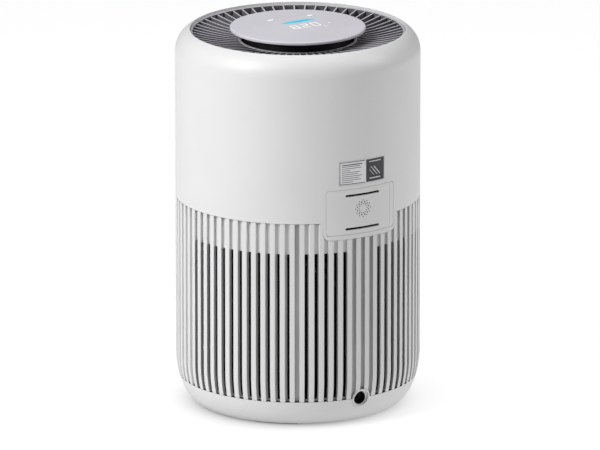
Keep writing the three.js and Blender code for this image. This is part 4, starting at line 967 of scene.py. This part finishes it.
# x from the middle, heights over the label's foot and how much higher the far end sits
PICTOGRAM = ((-6.5, 6.5, 3.4, 4.3, 0.0), (-6.0, 1.5, 6.5, 7.7, 8.5), (-2.5, 5.0, 6.5, 7.4, 8.5),
             (1.5, 7.0, 6.5, 7.2, 6.2))


def build_label():
    film = curved_sheet(label_outline(0), BODY_RADIUS - LABEL_DEPTH, BODY_RADIUS - LABEL_SINK)
    publish(film, "info_label_film", "film", "housing", ["info_label"])
    right, left = LABEL_LOW.x, LABEL_HIGH.x
    low, high = LABEL_LOW.z, LABEL_HIGH.z
    divide = left - (left - right) * DIVIDE
    edge = left - MARGIN
    patches = [printed_patch(*corners) for corners in (
        (divide, edge, high - FRAME - MARGIN, high - MARGIN),
        (divide, edge, low + MARGIN, low + FRAME + MARGIN),
        (edge - FRAME, edge, low + MARGIN, high - MARGIN),
        (right + MARGIN, divide - 2 * MARGIN, low + MARGIN, high - MARGIN))]
    for number, length in enumerate(LINE_LENGTHS):
        top = high - LINE_TOP - number * LINE_STEP
        thickness = LINE_THICKNESS if number else HEADING_THICKNESS
        start = left - LINE_START
        line = printed_patch(start - length, start, top - thickness, top, 0.04)
        patches.append(painted(line, lambda face: 1))
    middle = (right + divide) / 2
    slanted = [printed_patch(middle + x_low, middle + x_high, low + z_low, low + z_high, 0.05,
                             lean)
               for x_low, x_high, z_low, z_high, lean in PICTOGRAM]
    x_low, x_high, z_low, z_high = HEADER
    slanted.append(printed_patch(middle + x_low, middle + x_high, high - z_low, high - z_high,
                                 0.05))
    patches += [painted(patch, lambda face: 2) for patch in slanted]
    publish(join(*patches), "info_label_print", "dark_ink", "housing", (),
            looks=("mid_ink", "pale_ink"))


def build_inlet():
    back = INLET_LOW.y
    front = body_radius_at(INLET_HEIGHT)
    recess, bore = INLET_RECESS, INLET_BORE
    floor = front - INLET_RECESS_DEPTH
    profile = [(bore, back), (INLET_RADIUS, back), (INLET_RADIUS, front)]
    profile += [(INLET_RADIUS - 0.2, front + 0.15), (recess + 0.3, front + 0.15),
                (recess, front - 0.1), (recess - 0.4, floor), (bore + 0.4, floor),
                (bore, floor - 0.4)]
    bm = turn_to_rear(turned(profile, 72), INLET_HEIGHT)
    for vert in bm.verts:
        if vert.co.y > (front - 0.5) * MM:
            height = vert.co.z / MM
            surface = rear_reach(vert.co.x / MM, body_radius_at(height)) + 0.35
            vert.co.y += (surface - front) * MM
    publish(bm, "power_inlet_bezel", "white", "housing", ["inlet_bezel"])
    low, high = span("inlet_jack")
    mouth, face = floor - 0.3, high.y
    profile = [(0, low.y), (5.7, low.y), (5.7, high.y - 1), (bore - 0.05, high.y),
               (bore - 0.05, mouth), (bore - 0.6, mouth), (bore - 0.6, face), (3.4, face),
               (2.9, face - 0.5), (2.9, low.y + 5), (0, low.y + 5)]
    publish(turn_to_rear(turned(profile, 48, False), INLET_HEIGHT), "power_inlet_jack", "black",
            "housing", ["inlet_jack"])
    low, high = span("inlet_pin")
    tip = arc((0.6, high.y - 0.5), 0.5, 0, 90, 4)
    profile = [(0, low.y), (1.1, low.y), *tip, (0, high.y)]
    publish(turn_to_rear(turned(profile, 24, False), INLET_HEIGHT), "power_inlet_pin", "steel",
            "housing", ["inlet_pin"])


# ------------------------------------------------------------------ outlet and display
def build_outlet_grille(sizes):
    outer = OUTLET_RADIUS
    ring_inner = outer - RING_WALL
    hub = HUB_RADIUS
    ring_low, hub_top = OUTLET_HIGH - RING_HEIGHT, OUTLET_LOW + HUB_HEIGHT
    ring = turned([(ring_inner, ring_low), (outer, ring_low), (outer, OUTLET_HIGH - 0.6),
                   (outer - 0.5, OUTLET_HIGH), (ring_inner + 0.5, OUTLET_HIGH),
                   (ring_inner, OUTLET_HIGH - 0.6)], 180)
    floor, hub_inner = OUTLET_LOW + HUB_FLOOR, hub - HUB_WALL
    cup = turned([(HUB_HOLE, OUTLET_LOW), (hub, OUTLET_LOW), (hub, hub_top - 0.5),
                  (hub - 0.5, hub_top), (hub_inner + 0.5, hub_top),
                  (hub_inner, hub_top - 0.5), (hub_inner, floor), (HUB_HOLE, floor)], 120)
    points = 8
    top, bottom = [], []
    for number in range(points + 1):
        share = number / points
        radius = hub - FIN_BITE + (ring_inner - hub + 2 * FIN_BITE) * share
        bow = math.sin(math.pi * share)
        height = hub_top - 0.5 + (OUTLET_HIGH - hub_top) * share - FIN_SAG * bow
        top.append((radius, height))
        bottom.append((radius, height - FIN_HEIGHT + FIN_HOLLOW * bow))
    fin = plate(bottom + top[::-1], sizes.fin_thickness / MM)
    rotated(fin, REAR, "X")
    crest = [edge for edge in fin.edges if edge.calc_face_angle() > 1.2
             and all(vert.co.z > (hub_top - 3) * MM for vert in edge.verts)]
    face_outwards(rounded(fin, crest, 0.35 * MM))
    # Upright faces of the fins, the ring and the hub take the darker grey: painted shade.
    for part in (fin, ring, cup):
        painted(part, lambda face: abs(face.normal.z) < 0.3)
    rotated(fin, REAR, "Z")
    publish(join(ring, cup, repeat_round(fin, sizes.fin_count)), "outlet_grille_fins", "grey",
            "housing", ["outlet_grille"], looks=("painted_side_shade",))


# The lit marks on the display, as (x, y) in millimetres, and the ovals' lengths and widths.
BAR_PLACE = (-9.5, -14.5)
NUMERALS_PLACE = (-6.5, 3.5)
LIT_MARKS = ((11, -33, 7.5, 3.2), (-32, -29, 6.5, 3.0), (-33, 5, 2.4, 1.8), (-22.5, 15, 2.6, 1.6))

# Each numeral's lit segments and its place along the row, in millimetres.
NUMERALS = (("abcdef", -11.5), ("abged", 0), ("abcdefg", 11.5))
NUMERAL_SIZE = (6.6, 12.5, 1.2)  # width, height and thickness of a stroke
MARK_THICKNESS = 0.12
BAR_HALF, HALO_HALF = 20.0, 21.5


def numeral(segments, x, y, width, height, thickness):
    """A seven-segment numeral that reads from the front of the purifier."""
    half_w, half_h = width / 2, height / 2
    places = {
        "a": (0, half_h, True), "g": (0, 0, True), "d": (0, -half_h, True),
        "f": (-half_w, half_h / 2, False), "b": (half_w, half_h / 2, False),
        "e": (-half_w, -half_h / 2, False), "c": (half_w, -half_h / 2, False),
    }
    parts = []
    for letter in segments:
        across, up, flat = places[letter]
        reach = (width if flat else half_h) / 2 - thickness * 0.45
        t = thickness / 2
        outline = [(-reach, -t), (reach, -t), (reach + t, 0), (reach, t), (-reach, t),
                   (-reach - t, 0)]
        if not flat:
            outline = [(-b, a) for a, b in outline]
        slanted = [(x + across + a + (up + b) * 0.08, y + up + b) for a, b in outline]
        parts.append(plate(slanted, MARK_THICKNESS, False))
    return join(*parts)


def on_disc(bm, rise=0.0):
    return moved(bm, z=DISC_TOP - 0.09 + rise)


def lens_outline(place, half, depth, steps=32):
    """A flat spindle along X that tapers to its ends."""
    x, y = place
    upper = [(x - half + 2 * half * i / steps, y + depth * math.sin(math.pi * i / steps) ** 0.8)
             for i in range(steps + 1)]
    return upper + [(across, 2 * y - up) for across, up in reversed(upper[1:-1])]


def oval(x, y, long, wide, steps=20):
    points = [(x + long / 2 * math.cos(TURN * i / steps), y + wide / 2 * math.sin(TURN * i / steps))
              for i in range(steps)]
    return plate(points, MARK_THICKNESS, False)


def build_display():
    low = span("display_disc")[0].z
    bottom = DISC_TOP - DISC_THICKNESS
    skirt = NECK_RADIUS - NECK_WALL - FIT
    edge = arc((DISC_RADIUS - DISC_EDGE, DISC_TOP - DISC_EDGE), DISC_EDGE, 0, 90, 8)
    under = arc((DISC_RADIUS - 0.7, bottom + 0.7), 0.7, -90, 0, 4)
    profile = [(0, bottom), (skirt - SKIRT_WALL, bottom), (skirt - SKIRT_WALL, low),
               (skirt, low), (skirt, bottom), *under, *edge, (0, DISC_TOP)]
    publish(turned(profile, 240, False), "display_disc_cover", "disc", "housing",
            ["display_disc"])
    neck_low, neck_high = span("display_neck")
    neck = hoop(NECK_RADIUS - NECK_WALL, NECK_RADIUS, neck_low.z, neck_high.z)
    publish(neck, "display_neck_tube", "black", "housing", ["display_neck"],
            0.3)
    for name, look, half, depth, rise in (
            ("display_light_bar", "glow", BAR_HALF, 2.6, 0.04),
            ("display_light_halo", "halo", HALO_HALF, 5.5, 0.0)):
        shape = lens_outline(BAR_PLACE, half, depth)
        publish(on_disc(plate(shape, 0.1, False), rise), name, look, "housing", ())
    x, y = NUMERALS_PLACE
    numerals = [numeral(segments, x + step, y, *NUMERAL_SIZE) for segments, step in NUMERALS]
    marks = [oval(*mark) for mark in LIT_MARKS]
    publish(on_disc(join(*numerals, *marks)), "display_numerals", "white_light", "housing", ())


# ------------------------------------------------------------------ underside and filter
def build_filter_cover():
    low, high = span("filter_cover")
    lug_edge = radius_of("filter_cover")
    radius = BASE_OPENING - 2 * FIT
    wall_outer = radius - 1.2
    wall_inner = wall_outer - COVER_WALL
    floor, grip, depth = COVER_FLOOR, GRIP_RADIUS, GRIP_DEPTH
    profile = [(0, low.z + depth), (grip - 0.8, low.z + depth), (grip, low.z + depth - 0.6)]
    profile += arc((grip + 3.2, low.z + 1.2), 1.2, 180, 270, 5)
    profile += [(radius - 0.5, low.z), (radius, low.z + 0.5), (radius, low.z + floor),
                (wall_outer, low.z + floor), (wall_outer, high.z), (wall_inner, high.z),
                (wall_inner, low.z + floor), (grip + floor + 2, low.z + floor),
                (grip + floor, low.z + depth + floor), (0, low.z + depth + floor)]
    parts = [turned(profile, 180, False)]
    grip_bar = bar((2 * grip + 2, GRIP_WIDTH, depth + 1), (0, 0, low.z + (depth + 1) / 2))
    long_edges = [edge for edge in grip_bar.edges
                  if abs(edge.verts[0].co.x - edge.verts[1].co.x) > 20 * MM]
    parts.append(rounded(grip_bar, long_edges, 1.4 * MM, 4))
    for x in range(-20, 21, 5):
        parts.append(bar((1.2, GRIP_WIDTH + 1.2, 1.0), (x, 0, low.z + 0.55)))
    lug_low = BASE_LOW + BASE_PLATE + FIT
    inner = BASE_OPENING - 3.5
    for turn in LUG_TURNS:
        parts.append(bar((lug_edge - inner - 0.1, LUG_LENGTH, high.z - lug_low),
                         ((lug_edge + inner) / 2, 0, (high.z + lug_low) / 2), turn))
    publish(join(*parts), "filter_twist_cover", "white", "filter_cover", ["filter_cover"])


def build_feet():
    low, high = span("foot_1")[0].z, span("foot_1")[1].z
    middle = (BASE_OPENING + body_radius_at(BASE_LOW)) / 2
    inner, outer = middle - FOOT_WIDTH / 2, middle + FOOT_WIDTH / 2
    profile = [(inner, high), (inner, low + 0.35), (inner + 0.4, low), (outer - 0.4, low),
               (outer, low + 0.35), (outer, high)]
    for number in range(4):
        turn = REAR + math.radians(45 + 90 * number) - FOOT_SPAN / 2
        pad = rotated(turned(profile, 16, True, FOOT_SPAN), turn, "Z")
        publish(pad, f"foot_pad_{number + 1}", "rubber", "housing", [f"foot_{number + 1}"])


def build_filter():
    low, high = span("filter_sleeve")
    outer = radius_of("filter_sleeve")
    sleeve = hoop(outer - SLEEVE_WALL, outer, low.z, high.z)
    publish(sleeve, "filter_mesh_sleeve", "mesh", "housing", ["filter_sleeve"],
            0.2, 1)
    low, high = span("filter_media")
    outer = radius_of("filter_media")
    inner = outer - PLEAT_DEPTH
    bm = bmesh.new()
    bmesh.ops.create_circle(bm, cap_ends=False, segments=2 * PLEAT_COUNT,
                            radius=(outer - 0.6) * MM)
    moved(bm, z=low.z + 0.5)
    shrink = (inner + 0.6) / (outer - 0.6)
    bmesh.ops.scale(bm, verts=list(bm.verts)[::2], vec=(shrink, shrink, 1))
    grown = bmesh.ops.extrude_edge_only(bm, edges=bm.edges[:])["geom"]
    bmesh.ops.translate(bm, verts=only(grown, VERT), vec=(0, 0, (high.z - low.z - 1) * MM))
    bmesh.ops.recalc_face_normals(bm, faces=bm.faces)
    bmesh.ops.solidify(bm, geom=bm.faces[:], thickness=PAPER_THICKNESS * MM)
    face_outwards(bm)
    publish(bm, "filter_pleats", "paper", "housing", ["filter_media"])
    low, high = span("filter_bottom_cap")
    outer = radius_of("filter_bottom_cap")
    recess = BOTTOM_CAP_RECESS
    bottom_cap = turned([(0, low.z + 2), (recess, low.z + 2), (recess, low.z), (outer, low.z),
                         (outer, high.z), (0, high.z)], 144, False)
    low, high = span("filter_top_cap")
    top_cap = hoop(TOP_CAP_HOLE, radius_of("filter_top_cap"), low.z, high.z)
    for node, cap in (("filter_bottom_cap", bottom_cap), ("filter_top_cap", top_cap)):
        publish(cap, node + "_ring", "black", "housing", [node], 0.6, 3)
    low, high = span("filter_seal")
    outer = radius_of("filter_seal")
    seal = hoop(outer - SEAL_WIDTH, outer, low.z, high.z, 120)
    publish(seal, "filter_foam_seal", "rubber", "housing", ["filter_seal"], 1.5, 3)


# ------------------------------------------------------------------ inner pieces left as they are
KEPT_NODES = {
    "steel": ("motor_screw_1", "motor_screw_2", "motor_screw_3", "deck_screw_1", "deck_screw_2",
              "deck_screw_3", "deck_screw_4", "bearing_lower", "bearing_upper", "impeller_nut",
              "motor_shaft", "motor_rotor", "dust_sensor"),
    "grey": ("fan_deck",),
    "black": ("fan_duct", "inner_cone", "board_holder", "board_support", "sensor_tray",
              "power_lead", "impeller", "inlet_guard", "inlet_nut"),
    "board": ("control_board", "display_board"),
    "guide": ("light_guide",),
    "rubber": ("motor_isolator_1", "motor_isolator_2", "motor_isolator_3"),
    "aluminium": ("motor_base",),
    "copper": ("motor_stator",),
    "mesh": ("filter_pull_tab",),
}


def dress_kept_nodes():
    for look, nodes in KEPT_NODES.items():
        for node in nodes:
            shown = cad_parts[node]
            for place in shown.material_slots:
                place.material = finish(look)


# ------------------------------------------------------------------ stage
TABLE_GLOW = 0.9
# A shadow is painted on the table round the purifier's base by turning its glow down: where that
# painted shadow is centred, how far it spreads beyond the base before it has mostly gone, and how
# much glow it takes away at the base.
SHADE_CENTRE = (0.0046, 0.0018, 0.0)
SHADE_RADIUS = 0.097
SHADE_REACH = 0.016
SHADE_DEPTH = 0.5
TABLE_RADIUS = 2.0
CAMERA_AZIMUTH = 148.0
CAMERA_ELEVATION = 15.29
CAMERA_DISTANCE = 11.0
VIEW_WIDTH = 588.7 * MM  # that the camera takes in at the purifier
AIM_RIGHT = 2.2 * MM
AIM_HEIGHT = 174.8 * MM
# Each light's place in metres (right, towards the camera, up), the height it is aimed at, its
# size and its power in watts.
LIGHTS = (("overhead", (0, 0, 2.4), 0.0, (2.0, 2.0), 18),
          ("key", (-1.35, 0.92, 1.5), 0.19, (0.7, 1.2), 39),
          ("rim", (1.5, 0.1, 1.3), 0.19, (0.5, 1.2), 12))
WORLD_LIGHT = 0.05


def area_light(name, place, aim, size, power):
    lamp = bpy.data.lights.new(name, "AREA")
    lamp.shape = "RECTANGLE"
    lamp.size, lamp.size_y = size
    lamp.energy = power
    light = bpy.data.objects.new(name, lamp)
    bpy.context.scene.collection.objects.link(light)
    light.location = place
    light.rotation_mode = "QUATERNION"
    light.rotation_quaternion = (aim - place).to_track_quat("-Z", "Y")


def build_stage():
    scene = bpy.context.scene
    scene.view_settings.view_transform = "Standard"
    azimuth, elevation = math.radians(CAMERA_AZIMUTH), math.radians(CAMERA_ELEVATION)
    back = Vector((math.sin(azimuth), -math.cos(azimuth), 0))
    right = Vector((math.cos(azimuth), math.sin(azimuth), 0))
    aim = right * AIM_RIGHT + Vector((0, 0, AIM_HEIGHT))
    lift = Vector((0, 0, math.sin(elevation)))
    lens = bpy.data.cameras.new("studio camera")
    lens.sensor_width = 36.0
    lens.lens = lens.sensor_width * CAMERA_DISTANCE / VIEW_WIDTH
    lens.clip_end = 100.0
    camera = bpy.data.objects.new("studio camera", lens)
    scene.collection.objects.link(camera)
    camera.location = aim + (back * math.cos(elevation) + lift) * CAMERA_DISTANCE
    camera.rotation_mode = "QUATERNION"
    camera.rotation_quaternion = (aim - camera.location).to_track_quat("-Z", "Y")
    scene.camera = camera
    floor = bmesh.new()
    bmesh.ops.create_circle(floor, cap_ends=True, segments=96, radius=TABLE_RADIUS)
    mesh = bpy.data.meshes.new("studio_floor")
    floor.to_mesh(mesh)
    floor.free()
    ground = bpy.data.objects.new("studio_floor", mesh)
    mesh.materials.append(studio_floor())
    scene.collection.objects.link(ground)
    world = bpy.data.worlds.new("studio")
    world.use_nodes = True
    background = world.node_tree.nodes["Background"]
    background.inputs["Color"].default_value = (1, 1, 1, 1)
    background.inputs["Strength"].default_value = WORLD_LIGHT
    scene.world = world
    up = Vector((0, 0, 1))
    for name, (x, y, z), height, size, power in LIGHTS:
        area_light(name, right * x + back * y + up * z, up * height, size, power)


# ------------------------------------------------------------------ add-on
class PURIFIER_OT_stage(bpy.types.Operator):
    """Set up the floor, the lights and the camera"""

    bl_idname = "purifier.stage"
    bl_label = "Stage"

    def execute(self, context):
        build_stage()
        return {"FINISHED"}


class PURIFIER_OT_upper_shell(bpy.types.Operator):
    """Build the plain upper shell with its rim and the door's recess"""

    bl_idname = "purifier.upper_shell"
    bl_label = "Upper shell"

    def execute(self, context):
        build_upper_shell(context.scene.purifier_sizes)
        return {"FINISHED"}


class PURIFIER_OT_intake_grille(bpy.types.Operator):
    """Build the ribbed lower casing and its slots"""

    bl_idname = "purifier.intake_grille"
    bl_label = "Intake grille"

    def execute(self, context):
        build_intake_grille(context.scene.purifier_sizes)
        return {"FINISHED"}


class PURIFIER_OT_base(bpy.types.Operator):
    """Build the rounded base under the ribs"""

    bl_idname = "purifier.base"
    bl_label = "Base"

    def execute(self, context):
        build_base(context.scene.purifier_sizes)
        return {"FINISHED"}


class PURIFIER_OT_sensor_door(bpy.types.Operator):
    """Build the sensor door, its dust screens and its ring of dots"""

    bl_idname = "purifier.sensor_door"
    bl_label = "Sensor door"

    def execute(self, context):
        build_sensor_door()
        return {"FINISHED"}


class PURIFIER_OT_info_label(bpy.types.Operator):
    """Build the label and its generic print"""

    bl_idname = "purifier.info_label"
    bl_label = "Label"

    def execute(self, context):
        build_label()
        return {"FINISHED"}


class PURIFIER_OT_power_inlet(bpy.types.Operator):
    """Build the power inlet's bezel, jack and pin"""

    bl_idname = "purifier.power_inlet"
    bl_label = "Power inlet"

    def execute(self, context):
        build_inlet()
        return {"FINISHED"}


class PURIFIER_OT_outlet_grille(bpy.types.Operator):
    """Build the fins round the air outlet"""

    bl_idname = "purifier.outlet_grille"
    bl_label = "Outlet grille"

    def execute(self, context):
        build_outlet_grille(context.scene.purifier_sizes)
        return {"FINISHED"}


class PURIFIER_OT_display(bpy.types.Operator):
    """Build the round display, its neck and its lit marks"""

    bl_idname = "purifier.display"
    bl_label = "Display"

    def execute(self, context):
        build_display()
        return {"FINISHED"}


class PURIFIER_OT_filter_cover(bpy.types.Operator):
    """Build the twist cover under the filter"""

    bl_idname = "purifier.filter_cover"
    bl_label = "Twist cover"

    def execute(self, context):
        build_filter_cover()
        return {"FINISHED"}


class PURIFIER_OT_feet(bpy.types.Operator):
    """Build the four rubber feet"""

    bl_idname = "purifier.feet"
    bl_label = "Feet"

    def execute(self, context):
        build_feet()
        return {"FINISHED"}


class PURIFIER_OT_filter(bpy.types.Operator):
    """Build the filter's sleeve, pleats, caps and seal"""

    bl_idname = "purifier.filter"
    bl_label = "Filter"

    def execute(self, context):
        build_filter()
        return {"FINISHED"}


class PURIFIER_OT_inner_finishes(bpy.types.Operator):
    """Give the inner pieces their finishes"""

    bl_idname = "purifier.inner_finishes"
    bl_label = "Inner finishes"

    def execute(self, context):
        dress_kept_nodes()
        return {"FINISHED"}


class PURIFIER_PT_panel(bpy.types.Panel):
    """Lists the sizes, the colours and the building steps"""

    bl_label = "Air purifier"
    bl_idname = "PURIFIER_PT_panel"
    bl_space_type = "VIEW_3D"
    bl_region_type = "UI"
    bl_category = "Air purifier"

    def draw(self, context):
        for settings in (context.scene.purifier_sizes, context.scene.purifier_colours):
            for name in settings.bl_rna.properties.keys():
                if name not in ("rna_type", "name"):
                    self.layout.prop(settings, name)
        for step in STEPS:
            self.layout.operator(step.bl_idname)


STEPS = (PURIFIER_OT_stage, PURIFIER_OT_upper_shell, PURIFIER_OT_intake_grille,
         PURIFIER_OT_base, PURIFIER_OT_sensor_door, PURIFIER_OT_info_label,
         PURIFIER_OT_power_inlet, PURIFIER_OT_outlet_grille, PURIFIER_OT_display,
         PURIFIER_OT_filter_cover, PURIFIER_OT_feet, PURIFIER_OT_filter,
         PURIFIER_OT_inner_finishes)
CLASSES = (PurifierSizes, PurifierColours, *STEPS, PURIFIER_PT_panel)


def register():
    for each in CLASSES:
        bpy.utils.register_class(each)
    bpy.types.Scene.purifier_sizes = bpy.props.PointerProperty(type=PurifierSizes)
    bpy.types.Scene.purifier_colours = bpy.props.PointerProperty(type=PurifierColours)


def unregister():
    del bpy.types.Scene.purifier_colours
    del bpy.types.Scene.purifier_sizes
    for each in reversed(CLASSES):
        bpy.utils.unregister_class(each)


def main():
    register()
    bpy.ops.purifier.stage()
    bpy.ops.purifier.upper_shell()
    bpy.ops.purifier.intake_grille()
    bpy.ops.purifier.base()
    bpy.ops.purifier.sensor_door()
    bpy.ops.purifier.info_label()
    bpy.ops.purifier.power_inlet()
    bpy.ops.purifier.outlet_grille()
    bpy.ops.purifier.display()
    bpy.ops.purifier.filter_cover()
    bpy.ops.purifier.feet()
    bpy.ops.purifier.filter()
    bpy.ops.purifier.inner_finishes()


if __name__ == "__main__":
    main()
